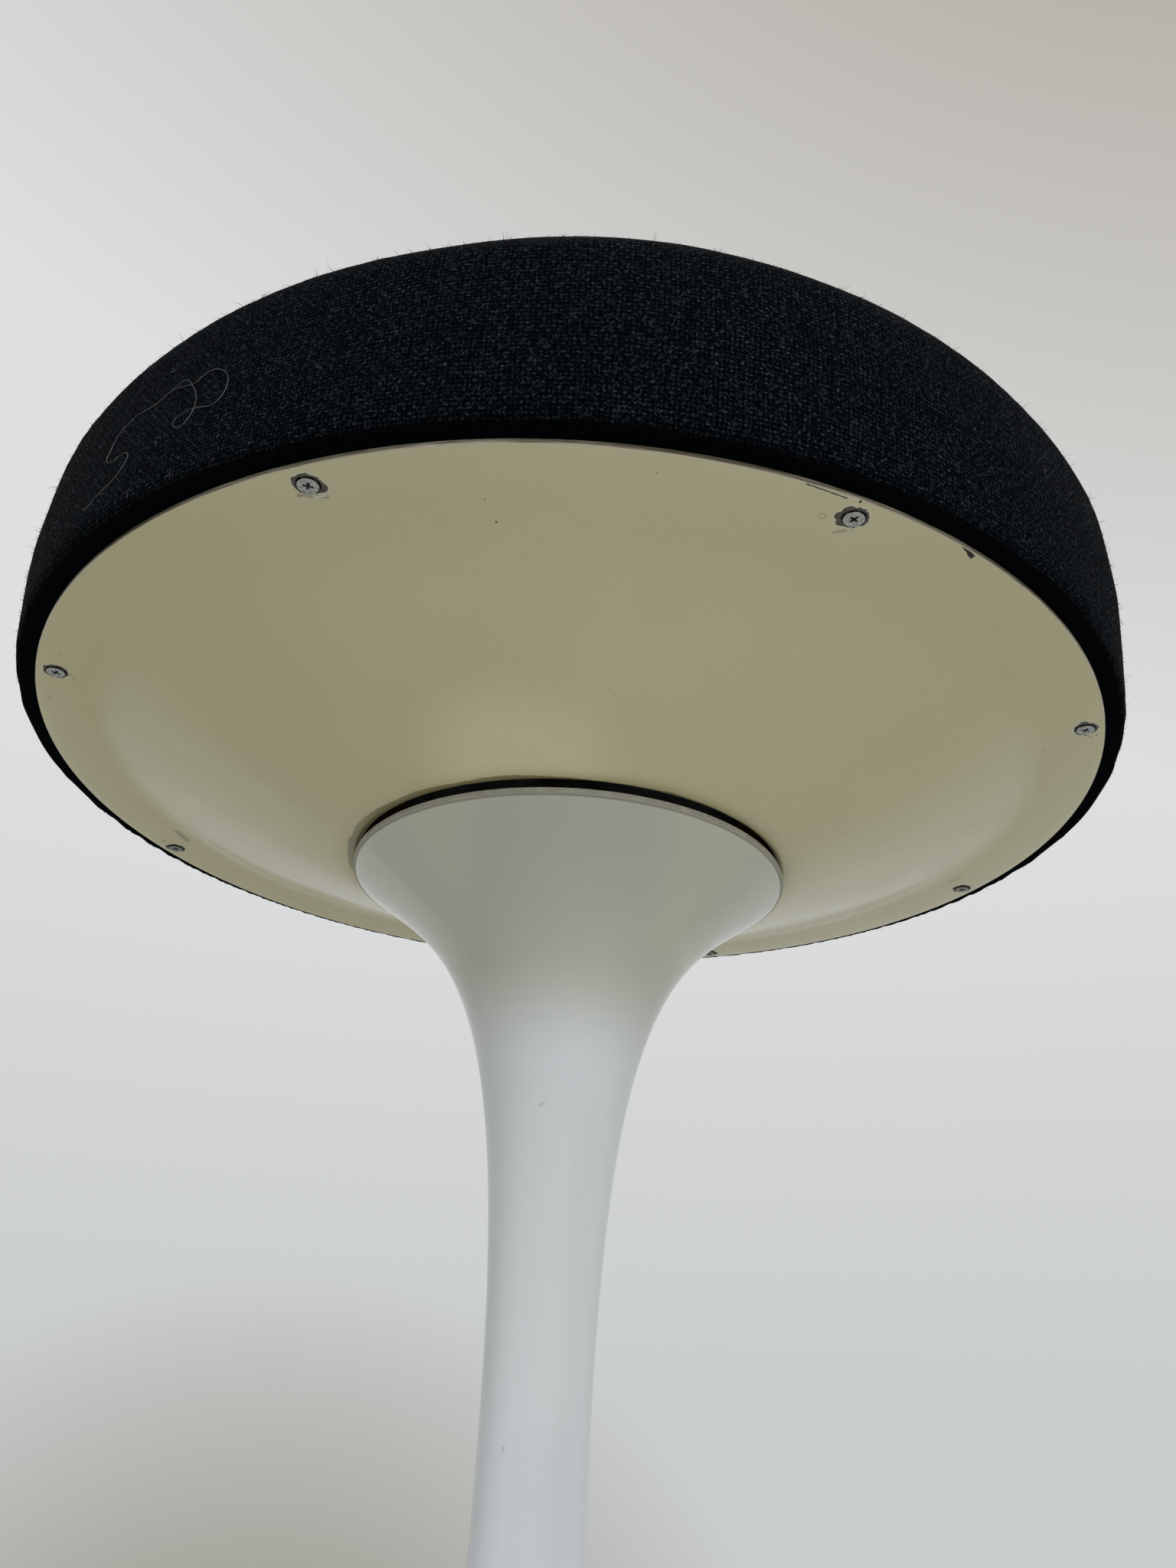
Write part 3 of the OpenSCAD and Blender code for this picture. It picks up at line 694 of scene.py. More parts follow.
knots.add(len(fibre_path) - len(knots))
for knot, (angle, height) in zip(knots, fibre_path):
    knot.co = (*(cloth_spot(angle, height, FIBRE_OFF) * MM), 1)
fibre.data.bevel_depth = FIBRE_R * MM
fibre.data.bevel_resolution = 1
fibre.data.splines[0].order_u = 3
fibre.data.splines[0].resolution_u = 6
only(fibre)
bpy.ops.object.convert(target="MESH")
fibre = named("long_fibre")
soften(fibre, 60)

# %% [markdown]
# ## Shader sums in plain Python
# A finish is a material built from nodes. Wiring each Math node by hand hides what is meant, so
# a small class wraps a socket and lets Python's own signs add the nodes: 1 - mask, a * b + c.
# Colours are written by their display values, 0 to 255, and turned into the linear values that
# nodes use. Any other node comes from one method, which sets its settings first. As with real
# paint, a colour is built up in coats: each tone is laid over the last one through its own mask.

# %% A socket that can be reckoned with
class Flow:
    """A value that runs along a socket of a finish."""

    def __init__(self, finish, socket):
        self.finish, self.socket = finish, socket

    def reckon(self, operation, *values):
        return self.finish.node("Math", {"operation": operation}, dict(enumerate(values)))

    def __add__(self, other):
        return self.reckon("ADD", self, other)

    def __sub__(self, other):
        return self.reckon("SUBTRACT", self, other)

    def __rsub__(self, other):
        return self.reckon("SUBTRACT", other, self)

    def __mul__(self, other):
        return self.reckon("MULTIPLY", self, other)

    def __truediv__(self, other):
        return self.reckon("DIVIDE", self, other)

    def __mod__(self, other):
        return self.reckon("FLOORED_MODULO", self, other)

    __radd__, __rmul__ = __add__, __mul__

    def root(self):
        return self.reckon("SQRT", self)

    def size(self):
        return self.reckon("ABSOLUTE", self)

    def most(self, other):
        return self.reckon("MAXIMUM", self, other)


def tone(red, green, blue):
    """A linear colour from its display values, 0 to 255."""
    share = [c / 255 for c in (red, green, blue)]
    return tuple(c / 12.92 if c < 0.04 else ((c + 0.055) / 1.055) ** 2.4 for c in share) + (1,)


print("mid grey is", round(tone(119, 119, 119)[0], 3), "in linear light")

# %% A finish, its nodes and its masks
class Finish:
    """A material whose varying inputs are wired by expressions."""

    def __init__(self, name, roughness=0.5, metallic=0.0, **constants):
        self.material = bpy.data.materials.new(name)
        self.material.use_nodes = True
        self.tree = self.material.node_tree
        self.shader = self.tree.nodes["Principled BSDF"]
        self.set("Roughness", roughness)
        self.set("Metallic", metallic)
        for socket, value in constants.items():
            self.set(socket.replace("_", " "), value)
        spot = self.node("TexCoord", out="Object")
        self.mm = self.scaled(spot, 1000)
        self.x, self.y, self.z = self.split(self.mm)

    def set(self, socket, value):
        """Link a value to the shader's socket, or type it in."""
        self.link(self.shader.inputs[socket], value)

    def link(self, socket, value):
        if isinstance(value, Flow):
            self.tree.links.new(value.socket, socket)
        else:
            socket.default_value = value

    def node(self, kind, settings=None, inputs=None, out=0):
        """Add a node, set it up, fill its inputs and hand back one output."""
        made = self.tree.nodes.new("ShaderNode" + kind)
        for key, value in (settings or {}).items():
            setattr(made, key, value)
        for key, value in (inputs or {}).items():
            self.link(made.inputs[key], value)
        return Flow(self, made.outputs[out])

    def vector(self, operation, a, b):
        return self.node("VectorMath", {"operation": operation}, {0: a, 1: b})

    def scaled(self, vector, factor):
        return self.node("VectorMath", {"operation": "SCALE"}, {0: vector, "Scale": factor})

    def split(self, vector):
        made = self.tree.nodes.new("ShaderNodeSeparateXYZ")
        self.link(made.inputs[0], vector)
        return [Flow(self, output) for output in made.outputs]

    def join(self, x=0.0, y=0.0, z=0.0):
        return self.node("CombineXYZ", inputs={0: x, 1: y, 2: z})

    def mix(self, mask, a, b):
        """Colour a where the mask is 0 and b where it is 1."""
        return self.node("Mix", {"data_type": "RGBA"}, {0: mask, 6: a, 7: b}, out=2)

    def coats(self, colour, *coats):
        """Lay tones over a colour, one after the other, each through its own mask."""
        for mask, shade in coats:
            colour = self.mix(mask, colour, tone(*shade))
        return colour

    def two_tone(self, value, low, high, first, second):
        """From the first tone to the second as the value goes from low to high."""
        return self.mix(self.ease(value, low, high), tone(*first), tone(*second))

    def blend(self, mask, a, b):
        """Number a where the mask is 0 and b where it is 1."""
        return self.node("Mix", {"data_type": "FLOAT"}, {0: mask, 2: a, 3: b})

    def ease(self, value, low, high, a=0.0, b=1.0):
        """A soft step from a to b as the value goes from low to high."""
        inputs = {"Value": value, "From Min": low, "From Max": high, "To Min": a, "To Max": b}
        return self.node("MapRange", {"interpolation_type": "SMOOTHSTEP"}, inputs)

    def noise(self, scale, detail=3.0, rough=0.5, vector=None):
        """Noise with so many waves a millimetre, from 0 to 1."""
        inputs = {"Vector": vector or self.mm, "Scale": scale, "Detail": detail, "Roughness": rough}
        return self.node("TexNoise", inputs=inputs)

    def bump(self, height, distance, strength=1.0, under=None):
        """Raise the surface by the height, whose 1 stands for a distance in mm."""
        inputs = {"Strength": strength, "Distance": distance * MM, "Height": height}
        if under:
            inputs["Normal"] = under
        return self.node("Bump", inputs=inputs)

    def from_axis(self):
        """How far, in mm, each point lies from the swivel's axis."""
        return (self.x * self.x + self.y * self.y).root()

    def from_spot(self, x, y):
        """How far, in mm, each point lies from a spot, seen from below."""
        flat = self.join(self.x, self.y)
        return self.node("VectorMath", {"operation": "DISTANCE"}, {0: flat, 1: (x, y, 0)}, out="Value")


def wear(piece, finish):
    """Give the piece its finish."""
    piece.data.materials.clear()
    piece.data.materials.append(finish.material)
    for face in piece.data.polygons:
        face.material_index = 0


print("finishes can be mixed now")

# %% [markdown]
# ## The pedestal's paint
# The casting is sprayed a cool white. The coat is satin, with a faint orange peel, a slight
# unevenness of tone, a few dark specks and rubs, and a dull, pinkish ring where the lip's edge
# has been rubbed. Under the seat the white is painted darker and warmer, as painted shade and
# painted warm bounce light from the pan, a little less at its sides, and one stripe down the stem
# is darkened as painted shade. Each is a mask made from the height and the distances.

# %% Cool white satin paint
satin = Finish("pedestal_satin_white", Coat_Roughness=0.08, IOR=1.5)
# Painted shade: a darker stripe down the stem, just right of its middle.
stem_shade_stripe = satin.ease(satin.x, -12, 3) * satin.ease(satin.x, 19, 7) * satin.ease(satin.z, 250, 190)
stem_shade_stripe = stem_shade_stripe * satin.ease(satin.z, 60, 95)
# Painted light: the flare's sides keep a lighter tone than the painted shade under the seat.
sides = satin.ease(satin.x.size(), 20, 45) * satin.ease(satin.z, 262, 280)
specks = satin.ease(satin.noise(0.16, 2, 0.7), 0.755, 0.79)
ring_rub = satin.ease(satin.from_axis(), LIP_R - 0.35, LIP_R - 0.1) * satin.ease(satin.z, LIP_Z - 0.6, LIP_Z)
ring_rub = ring_rub * satin.ease(satin.noise(0.25, 3), 0.2, 0.6, 0.55, 1.0)
edge_line = satin.ease(satin.z, LIP_Z - 0.95, LIP_Z - 0.6) * satin.ease(satin.z, LIP_Z - 0.1, LIP_Z - 0.4)
satin.set("Base Color", satin.coats(
    tone(221, 225, 228),
    (stem_shade_stripe, (201, 204, 206)),
    (satin.ease(satin.noise(0.012, 2), 0.35, 0.65) * 0.35, (224, 227, 226)),
    # Painted shade and painted warm bounce light under the seat, lighter again at the flare's sides.
    (satin.ease(satin.z, 238, 272), (192, 194, 177)),
    (sides, (203, 205, 185)),
    (specks * 0.35, (150, 148, 140)),
    (ring_rub, (154, 149, 137)),
    (edge_line * 0.75, (126, 122, 104))))
rubbed_edge = satin.ease(satin.z, LIP_Z - 1.1, LIP_Z - 0.5)
satin.set("Roughness", satin.ease(satin.noise(0.05, 2), 0.3, 0.7, 0.3, 0.38) + rubbed_edge * 0.3)
satin.set("Coat Weight", satin.ease(satin.noise(0.03, 2), 0.3, 0.7, 0.6, 0.8) * (1 - rubbed_edge))
satin.set("Normal", satin.bump(satin.noise(0.35, 2), 0.012))
wear(casting, satin)
print(len(satin.tree.nodes), "nodes in the satin paint")

# %% [markdown]
# ## The pan's enamel
# The enamel is a khaki cream. Drivers have chipped it round every screw: there the dark primer
# shows, with a torn pale edge. The mask repeats round the eight screws by taking the angle apart,
# and noise on the object's own coordinates gives each chip another outline. Extra round spots
# make the larger lobes. The colour is paler before the hole and at the near edge, and yellower
# at both sides. The sheared rim is rubbed in streaks, and the rolled edge of the hole has an
# olive band.

# %% Cream enamel and where it is gone
enamel = Finish("pan_cream_enamel", Coat_Roughness=0.08, IOR=1.5)
reach_out = enamel.from_axis()
angle = enamel.y.reckon("ARCTAN2", enamel.y, enamel.x)
nearer = enamel.y + 0.25
ring_reach = (enamel.x * enamel.x + nearer * nearer).root()
ring_turn = nearer.reckon("ARCTAN2", nearer, enamel.x)
eighth = math.tau / 8
local = (ring_turn - math.radians(SCREW_TURN) + eighth / 2) % eighth - eighth / 2
across = ring_reach * local
inward = ring_reach - SCREW_RING
from_screw = (across * across + inward * inward).root()
ragged = enamel.noise(0.42, 3, 0.6) - 0.5
chip = enamel.ease(from_screw + ragged * 2.2, 4.05, 3.9)
halo = enamel.ease(from_screw + ragged * 2.2, 4.7, 4.3)
lobes = [(64.2, -171.2, 1.9), (64.9, -169.1, 1.9), (66.0, -173.0, 2.3), (-70.4, -168.1, 2.5), (-75.4, -169.8, 1.8),
         (166.6, -76.4, 1.6), (-170.5, -70.4, 1.7)]
for x, y, size in lobes:
    lobe = enamel.from_spot(x, y) + ragged
    chip = chip.most(enamel.ease(lobe, size, size - 0.2))
    halo = halo.most(enamel.ease(lobe, size + 0.6, size + 0.25))
face = enamel.ease(enamel.z, PAN_Z + 1.4, PAN_Z + 1.2)
print("chips drawn with", len(enamel.tree.nodes), "nodes")

# %% Marks on the flange
def by_line(finish, ends, worn):
    """How far each point lies along and beside a line between two spots, and the line's length."""
    (ax, ay), (bx, by) = ends
    long = math.dist(*ends)
    ux, uy = (bx - ax) / long, (by - ay) / long
    along = (finish.x - ax) * ux + (finish.y - ay) * uy
    aside = (finish.x - ax) * uy - (finish.y - ay) * ux
    return along, (aside + worn).size(), long


def streak(finish, ends, wide, worn):
    """A mask along a line between two spots of the flange, as ragged as worn says."""
    along, aside, long = by_line(finish, ends, (finish.noise(1.1, 2) - 0.5) * worn)
    ends_mask = finish.ease(along, 0, 0.6) * finish.ease(along, long, long - 0.6)
    return finish.ease(aside, wide, wide * 0.4) * ends_mask


scratch = streak(enamel, ((52.6, -182.1), (64.6, -177.7)), 0.28, 0.5)
rub = streak(enamel, ((-76.8, -164.3), (-67.9, -164.6)), 1.0, 1.8)
pale_rub = streak(enamel, ((-72.4, -163.6), (-68.4, -165.2)), 0.6, 0.6)
tan_mark = streak(enamel, ((63.0, -164.3), (67.2, -166.1)), 0.9, 0.4)
along, aside, long = by_line(enamel, ((98.6, -162.4), (103.2, -157.8)), ragged * 0.8)
wedge = enamel.ease(aside - along * 0.1, 0.25, 0.1)
wedge = wedge * enamel.ease(along, -0.2, 0.2) * enamel.ease(along, long, long - 0.3)
ring_far = enamel.from_spot(59.3, -170.8)
ring_mark = enamel.ease(ring_far, 0.6, 0.85) * enamel.ease(ring_far, 1.35, 1.05)
smudge = streak(enamel, ((-163.7, 53.8), (-161.0, 65.4)), 1.7, 1.0)
smudge = smudge + streak(enamel, ((163.4, 62), (166.4, 53.8)), 1.3, 1.0) * 0.5
dot_spots = [(-27.9, -168, 0.4), (-25, -161, 0.5), (15.3, -182.7, 0.35), (-166.5, -66.4, 0.5),
             (-166.2, -64.2, 0.5), (-178.7, -50.4, 0.5), (-180.5, -47.4, 0.4), (170.2, -69, 0.6),
             (171.1, -68.8, 0.5), (173.7, -69.7, 0.6), (172.4, -67.9, 0.6), (172.8, -74.3, 0.4),
             (171.5, -78.6, 0.4), (160.3, -57, 0.4), (-171.2, 65.7, 0.9), (-159.7, 47.9, 0.5),
             (-166.1, -78.2, 0.4)]
dots = 0.0
for x, y, size in dot_spots:
    dots = enamel.ease(enamel.from_spot(x, y) + ragged * 0.5, size, size * 0.5) + dots
print("marks placed,", len(enamel.tree.nodes), "nodes so far")

# %% The enamel put together
grime = enamel.ease(enamel.noise(0.22, 3, 0.65), 0.7, 0.78)
cream = enamel.coats(
    tone(216, 209, 168),
    (enamel.ease(reach_out, 180, 90), (214, 205, 160)),
    (enamel.ease(enamel.noise(0.018, 3), 0.35, 0.7) * 0.5, (208, 201, 163)),
    # Painted highlight: a pale patch on the dish just before the hole's near side.
    (enamel.ease(enamel.from_spot(-18, -82), 40, 12) * 0.8, (232, 224, 178)),
    (enamel.ease(enamel.x, -50, -125) * 0.45, (206, 196, 142)),
    (enamel.ease(enamel.x, 60, 125) * 0.4, (208, 200, 152)),
    (enamel.ease(enamel.y, -150, -178) * 0.4, (222, 215, 173)),
    (grime * 0.3, (140, 132, 104)),
    (ring_mark * 0.4 * face, (150, 142, 110)),
    (smudge * 0.6, (124, 120, 102)),
    (tan_mark * 0.6 * face, (158, 148, 116)),
    (rub * 0.75 * face, (150, 138, 112)),
    (halo * 0.6 * face, (222, 220, 200)),
    (pale_rub * 0.8 * face, (226, 226, 210)))
bare = chip.most(wedge)
metal = enamel.coats(
    enamel.two_tone(enamel.noise(0.6, 3), 0.3, 0.7, (68, 66, 58), (96, 94, 85)),
    (enamel.ease(chip, 0.98, 0.3), (40, 38, 30)),
    # Painted shade: the wall of each screw's seat, inside the sheet, is near black, for the gap round the head.
    (enamel.ease(enamel.z, PAN_Z + 0.1, PAN_Z + 0.25), (16, 15, 13)))
cream = enamel.mix(bare * face, cream, metal)
cream = enamel.mix(dots * 0.85 * face, cream, tone(84, 78, 62))
# The rim's pale and dark streaks are partly rubbed paint and partly painted highlight and shade on its rounded
# edge.
circle = enamel.join(angle * 16, enamel.z * 3.0, 0.0)
streaks = enamel.noise(1.0, 4, 0.6, circle)
side_light = enamel.ease(enamel.noise(1.0, 2, 0.5, enamel.join(angle * 2.5, 0.0, 4.0)), 0.35, 0.65)
rim = enamel.ease(reach_out, PAN_R - 0.45, PAN_R - 0.2)
rim_pale = enamel.two_tone(streaks, 0.4, 0.6, (128, 120, 100), (232, 226, 206))
rim_dark = enamel.two_tone(streaks, 0.4, 0.6, (84, 78, 60), (138, 131, 110))
rim_tone = enamel.mix(side_light, rim_dark, rim_pale)
# Painted highlight: a pale line along the lower, rounded corner of the rim.
rim_tone = enamel.mix(enamel.ease(enamel.z, PAN_Z + 0.75, PAN_Z + 0.55), rim_tone, tone(206, 198, 172))
cream = enamel.mix(rim * 0.9, cream, rim_tone)
edge_dot = enamel.ease(enamel.from_spot(67.9, -176.8), 0.6, 0.3)
dark_line = (scratch + edge_dot) * enamel.ease(enamel.z, PAN_Z + 0.75, PAN_Z + 0.65)
leaning = reach_out + enamel.x * 0.02 + (enamel.noise(0.045, 2) - 0.5) * 3.5 + ragged * 1.1
band = enamel.ease(leaning, HOLE_R + 3.5, HOLE_R + 3.2)
enamel.set("Base Color", enamel.coats(cream, (dark_line, (66, 62, 52)), (band * 0.9, (152, 143, 101))))
enamel.set("Roughness", enamel.ease(enamel.noise(0.03, 3), 0.3, 0.7, 0.26, 0.34) + bare * face * 0.2)
enamel.set("Coat Weight", 0.35 - bare * face * 0.35)
peel = enamel.bump(enamel.noise(0.12, 2), 0.05)
enamel.set("Normal", enamel.bump(1 - bare * face, 0.12, under=peel))
wear(pan, enamel)
print(len(enamel.tree.nodes), "nodes in the enamel")

# %% [markdown]
# ## Zinc and steel
# The screws are zinc plated: pale and mottled, darker towards the back, with their cross recess
# darkened as painted shade. The other steel pieces share one kind of finish, in their own tones:
# ground, drawn or black. Each has large stains, which change how metallic it looks, and fine
# lines, which its roughness and its relief follow.

# %% Plated and plain steel
def steel(name, pale, dark, roughness, grain=(0.4, 0.4, 0.4), metallic=0.9):
    """Steel of two tones, with its grain drawn out along the axes that have small numbers."""
    made = Finish(name)
    drawn = made.vector("MULTIPLY", made.mm, grain)
    stain = made.noise(0.06, 3)
    lines = made.noise(1.0, 4, 0.65, drawn)
    made.set("Base Color", made.two_tone(stain * 0.5 + lines * 0.5, 0.38, 0.62, dark, pale))
    made.set("Roughness", made.ease(lines, 0.3, 0.7, roughness - 0.08, roughness + 0.08))
    made.set("Metallic", made.ease(stain, 0.2, 0.8, metallic, metallic - 0.1))
    made.set("Normal", made.bump(lines, 0.01))
    return made


zinc = steel("screw_mottled_zinc", (206, 208, 208), (158, 160, 160), 0.42, (1.6, 1.6, 1.6), 0.45)
# Painted shade: the cross recess and the head's side above its face turn near black.
recess_shade = zinc.ease(zinc.z, SCREW_Z + 0.03, SCREW_Z + 0.25)
plated = zinc.two_tone(zinc.noise(1.3, 3), 0.35, 0.65, (150, 152, 148), (204, 206, 202))
towards_back = zinc.ease(zinc.y, -100, 60) * 0.6
zinc.set("Base Color", zinc.coats(plated, (towards_back, (112, 112, 102)), (recess_shade * 0.9, (30, 30, 27))))
for piece in screws:
    wear(piece, zinc)
print("screws plated")

# %% Finishes for the pieces inside
inner = {
    "bearing_tube": ("tube_steel", steel("tube_drawn_steel", (150, 150, 148), (110, 110, 108), 0.4,
                                         (0.8, 0.8, 0.03))),
    "spindle": ("spindle_steel", steel("spindle_ground_steel", (196, 197, 198), (160, 161, 163), 0.25,
                                       (0.05, 0.05, 2.0))),
    "thrust_washer": ("zinc_steel", steel("washer_zinc", (190, 192, 192), (150, 152, 152), 0.35)),
    "end_washer": ("zinc_steel", steel("end_washer_zinc", (190, 192, 192), (146, 148, 148), 0.35)),
    "spring_washers": ("zinc_steel", steel("spring_washer_zinc", (178, 180, 180), (128, 130, 130), 0.4)),
    "end_screw": ("black_steel", steel("end_screw_black", (62, 62, 64), (34, 34, 36), 0.45)),
    "grub_screws": ("black_steel", steel("grub_screw_black", (60, 60, 62), (32, 32, 34), 0.45)),
    "swivel_plate": ("plate_steel", steel("plate_rolled_steel", (126, 128, 132), (86, 88, 92), 0.5,
                                          (0.03, 0.5, 0.5))),
    "plate_bolts": ("yellow_zinc", steel("bolt_yellow_zinc", (206, 188, 132), (160, 140, 88), 0.35)),
    "tee_nuts": ("yellow_zinc", steel("tee_nut_yellow_zinc", (200, 182, 126), (150, 132, 84), 0.4)),
    "cover_staples": ("staple_wire", steel("staple_bright_wire", (196, 198, 200), (150, 152, 154), 0.3)),
}
for node, (slot, finish) in inner.items():
    wear(frame["nodes"][node], finish)
print(len(inner), "metal pieces finished")

# %% [markdown]
# The bushes are turned nylon, the floor ring is black rubber with a dull bloom, and the board is
# plywood: pale birch on its faces, with the layers' edges showing as bands round its side.

# %% Nylon, rubber and plywood
nylon = Finish("bush_turned_nylon", IOR=1.53)
rings = nylon.noise(1.0, 2, 0.5, nylon.vector("MULTIPLY", nylon.mm, (0.1, 0.1, 3.0)))
nylon.set("Base Color", nylon.two_tone(rings, 0.3, 0.7, (222, 216, 198), (234, 230, 216)))
nylon.set("Roughness", nylon.ease(rings, 0.3, 0.7, 0.38, 0.48))
nylon.set("Normal", nylon.bump(rings, 0.02))
for node in ("upper_bush", "lower_bush"):
    wear(frame["nodes"][node], nylon)

rubber = Finish("ring_black_rubber")
bloom = rubber.noise(0.08, 4, 0.6)
rubber.set("Base Color", rubber.two_tone(bloom, 0.35, 0.7, (38, 38, 38), (62, 61, 59)))
rubber.set("Roughness", rubber.ease(bloom, 0.3, 0.7, 0.6, 0.75))
rubber.set("Normal", rubber.bump(rubber.noise(1.2, 3), 0.03))
wear(frame["nodes"]["foot_ring"], rubber)

ply = Finish("board_birch_plywood")
grain = ply.noise(1.0, 5, 0.6, ply.vector("MULTIPLY", ply.mm, (0.012, 0.22, 0.02)))
faces_tone = ply.two_tone(grain, 0.35, 0.68, (190, 152, 104), (216, 184, 138))
layer = ((ply.z - BOARD_Z) / 1.5) % 2.0
layers = ply.two_tone(layer, 0.95, 1.05, (206, 172, 124), (158, 118, 76))
at_side = ply.ease(ply.from_axis(), BOARD_R - 0.3, BOARD_R - 0.1)
ply.set("Base Color", ply.mix(at_side, faces_tone, layers))
ply.set("Roughness", ply.ease(grain, 0.3, 0.7, 0.55, 0.68))
ply.set("Normal", ply.bump(grain, 0.08))
wear(frame["nodes"]["seat_board"], ply)
print("nylon, rubber and plywood done")

# %% [markdown]
# The foam is open-celled: small dark pores in pale yellow. Voronoi cells of just over a
# millimetre give them.

# %% Foam
cells = Finish("foam_open_cell")
pore = cells.node("TexVoronoi", inputs={"Vector": cells.mm, "Scale": 0.9}, out="Distance")
# Painted shade: the yellow is darker in the pores, where they sink in.
cells.set("Base Color", cells.two_tone(pore, 0.15, 0.5, (170, 150, 96), (226, 210, 150)))
cells.set("Roughness", cells.ease(pore, 0.1, 0.6, 0.8, 0.92))
cells.set("Normal", cells.bump(pore, 0.4))
wear(foam, cells)
print("foam done")

# %% [markdown]
# ## The wool
# The cover is a plain weave of thick, nearly black yarn. In each cell of the thread map either
# the upright or the level thread is on top, in turn like a chessboard, and bulges towards the
# eye. The bulge gives the bump, and its top carries a painted highlight, a blue-grey glint that
# differs from cell to cell, because yarn is uneven. A slow and a quick noise lead the threads a
# little astray, and fine noise drawn along the thread gives the fibres.

# %% A plain weave of dark wool
wool = Finish("cover_dark_wool", Sheen_Weight=0.006, Sheen_Roughness=0.5, Sheen_Tint=tone(150, 165, 190),
              Specular_IOR_Level=0.01)
threads = wool.node("UVMap", {"uv_map": "threads"})
for waves, reach in ((0.035, 1.6), (0.5, 0.45)):
    astray = wool.node("TexNoise", inputs={"Vector": wool.mm, "Scale": waves, "Detail": 2.0}, out="Color")
    astray = wool.scaled(wool.vector("SUBTRACT", astray, (0.5, 0.5, 0.5)), reach)
    threads = wool.vector("ADD", threads, astray)
u, v, _ = wool.split(threads)


def whole(value):
    return value.reckon("FLOOR", value)


column, row = whole(u), whole(v)
level_on_top = (column + row) % 2.0
side_u = u - column - 0.5
side_v = v - row - 0.5


def bulge(value, squeeze):
    """1 in the middle of a thread and 0 beside it."""
    turn = value * (math.pi * squeeze)
    return turn.reckon("COSINE", turn)


upright = bulge(side_u, 0.95) * (bulge(side_v, 0.72) * 0.6 + 0.4)
level = bulge(side_v, 0.95) * (bulge(side_u, 0.72) * 0.6 + 0.4)
top = wool.blend(level_on_top, upright, level)
cell = wool.node("TexWhiteNoise", {"noise_dimensions": "2D"}, {"Vector": wool.join(column, row)})
fibres_up = wool.noise(1.0, 3, 0.6, wool.join(u * 9.0, v * 1.6))
fibres_level = wool.noise(1.0, 3, 0.6, wool.join(u * 1.6, v * 9.0))
fibres = wool.blend(level_on_top, fibres_up, fibres_level)
print("weave laid,", len(wool.tree.nodes), "nodes")

# %% The wool's colour and relief
# Painted shade: the glints and fibre highlights fade out low on the pad, where the cloth turns under.
under = wool.ease(wool.z, 347.05, 347.9) * wool.ease(wool.z, 347, 351, 0.6, 1.0)
patchy = wool.ease(wool.noise(0.02, 3), 0.35, 0.65, 0.75, 1.1)
tufts = wool.noise(2.2, 2, 0.6) - 0.5
# Painted highlight: the crowns of the threads get a blue-grey glint, the upright ones more often towards the right
# side.
upright_glint_share = wool.ease(wool.x, 60, 170, 0.3, 0.5)
turned_up = wool.blend(level_on_top, upright_glint_share, 1.0)
painted_glint = wool.ease(top + tufts * 1.2 + (cell - 0.5) * 0.3 + (fibres - 0.5) * 0.8, 0.78, 1.3)
loose = wool.noise(1.3, 1) - 0.5
# Painted highlight: thin pale lines of glinting fibres.
fibre_glint_lines = wool.ease(loose.size(), 0.06, 0.02) * wool.ease(wool.noise(0.9, 2), 0.5, 0.62)
wool.set("Base Color", wool.coats(
    # Painted shade: the yarn is darker between the threads than on their crowns.
    wool.two_tone(top, 0.1, 0.8, (1, 3, 5), (5, 8, 11)),
    (painted_glint * turned_up * patchy * under, (56, 62, 67)),
    (fibre_glint_lines * under * 0.2, (110, 118, 122))))
wool.set("Roughness", wool.ease(fibres, 0.3, 0.7, 0.8, 0.9))
wool.set("Normal", wool.bump(top + fibres * 0.35, 0.35))
wear(drum, wool)
print(len(wool.tree.nodes), "nodes in the wool")

# %% [markdown]
# The loose fibres are the same wool, seen one by one, and the lint is paler. Both are matt, and
# a soft noise changes their tone from strand to strand.

# %% Loose fibres and lint
def fibre_finish(name, waves, dark, light):
    """Matt fibres of two tones that change from strand to strand."""
    made = Finish(name)
    made.set("Base Color", made.two_tone(made.noise(waves, 2), 0.3, 0.7, dark, light))
    made.set("Roughness", made.ease(made.noise(0.5, 2), 0.3, 0.7, 0.7, 0.85))
    return made


stray = fibre_finish("stray_wool_fibre", 0.3, (20, 22, 26), (66, 70, 76))
pale = fibre_finish("pale_lint_fibre", 0.2, (92, 96, 98), (142, 144, 143))
for piece in (fuzz, short_fuzz):
    wear(piece, stray)
for piece in (lint, lint_tufts, fibre):
    wear(piece, pale)
print("fibres and lint finished")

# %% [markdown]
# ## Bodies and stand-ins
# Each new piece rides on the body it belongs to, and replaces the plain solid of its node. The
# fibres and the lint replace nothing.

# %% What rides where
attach(casting, "pedestal")
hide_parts("pedestal")
for piece, node in ((pan, "seat_pan"), (drum, "seat_cover"), (foam, "foam_pad")):
    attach(piece, "seat")
    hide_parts(node)
for piece in screws:
    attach(piece, "seat")
    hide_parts("pan_screws")
for piece in (fuzz, short_fuzz, lint, lint_tufts, fibre):
    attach(piece, "seat")

# %% [markdown]
# ## The stage
# The stool stands on a pale round floor that fades into the background before its edge, so no
# horizon shows. The floor takes the stool's shadow. The world gives a soft level light, and for
# the camera and for reflections it shows the pale wall behind the stool, which is warmer and
# darker overhead and carries a painted shadow in one low corner.

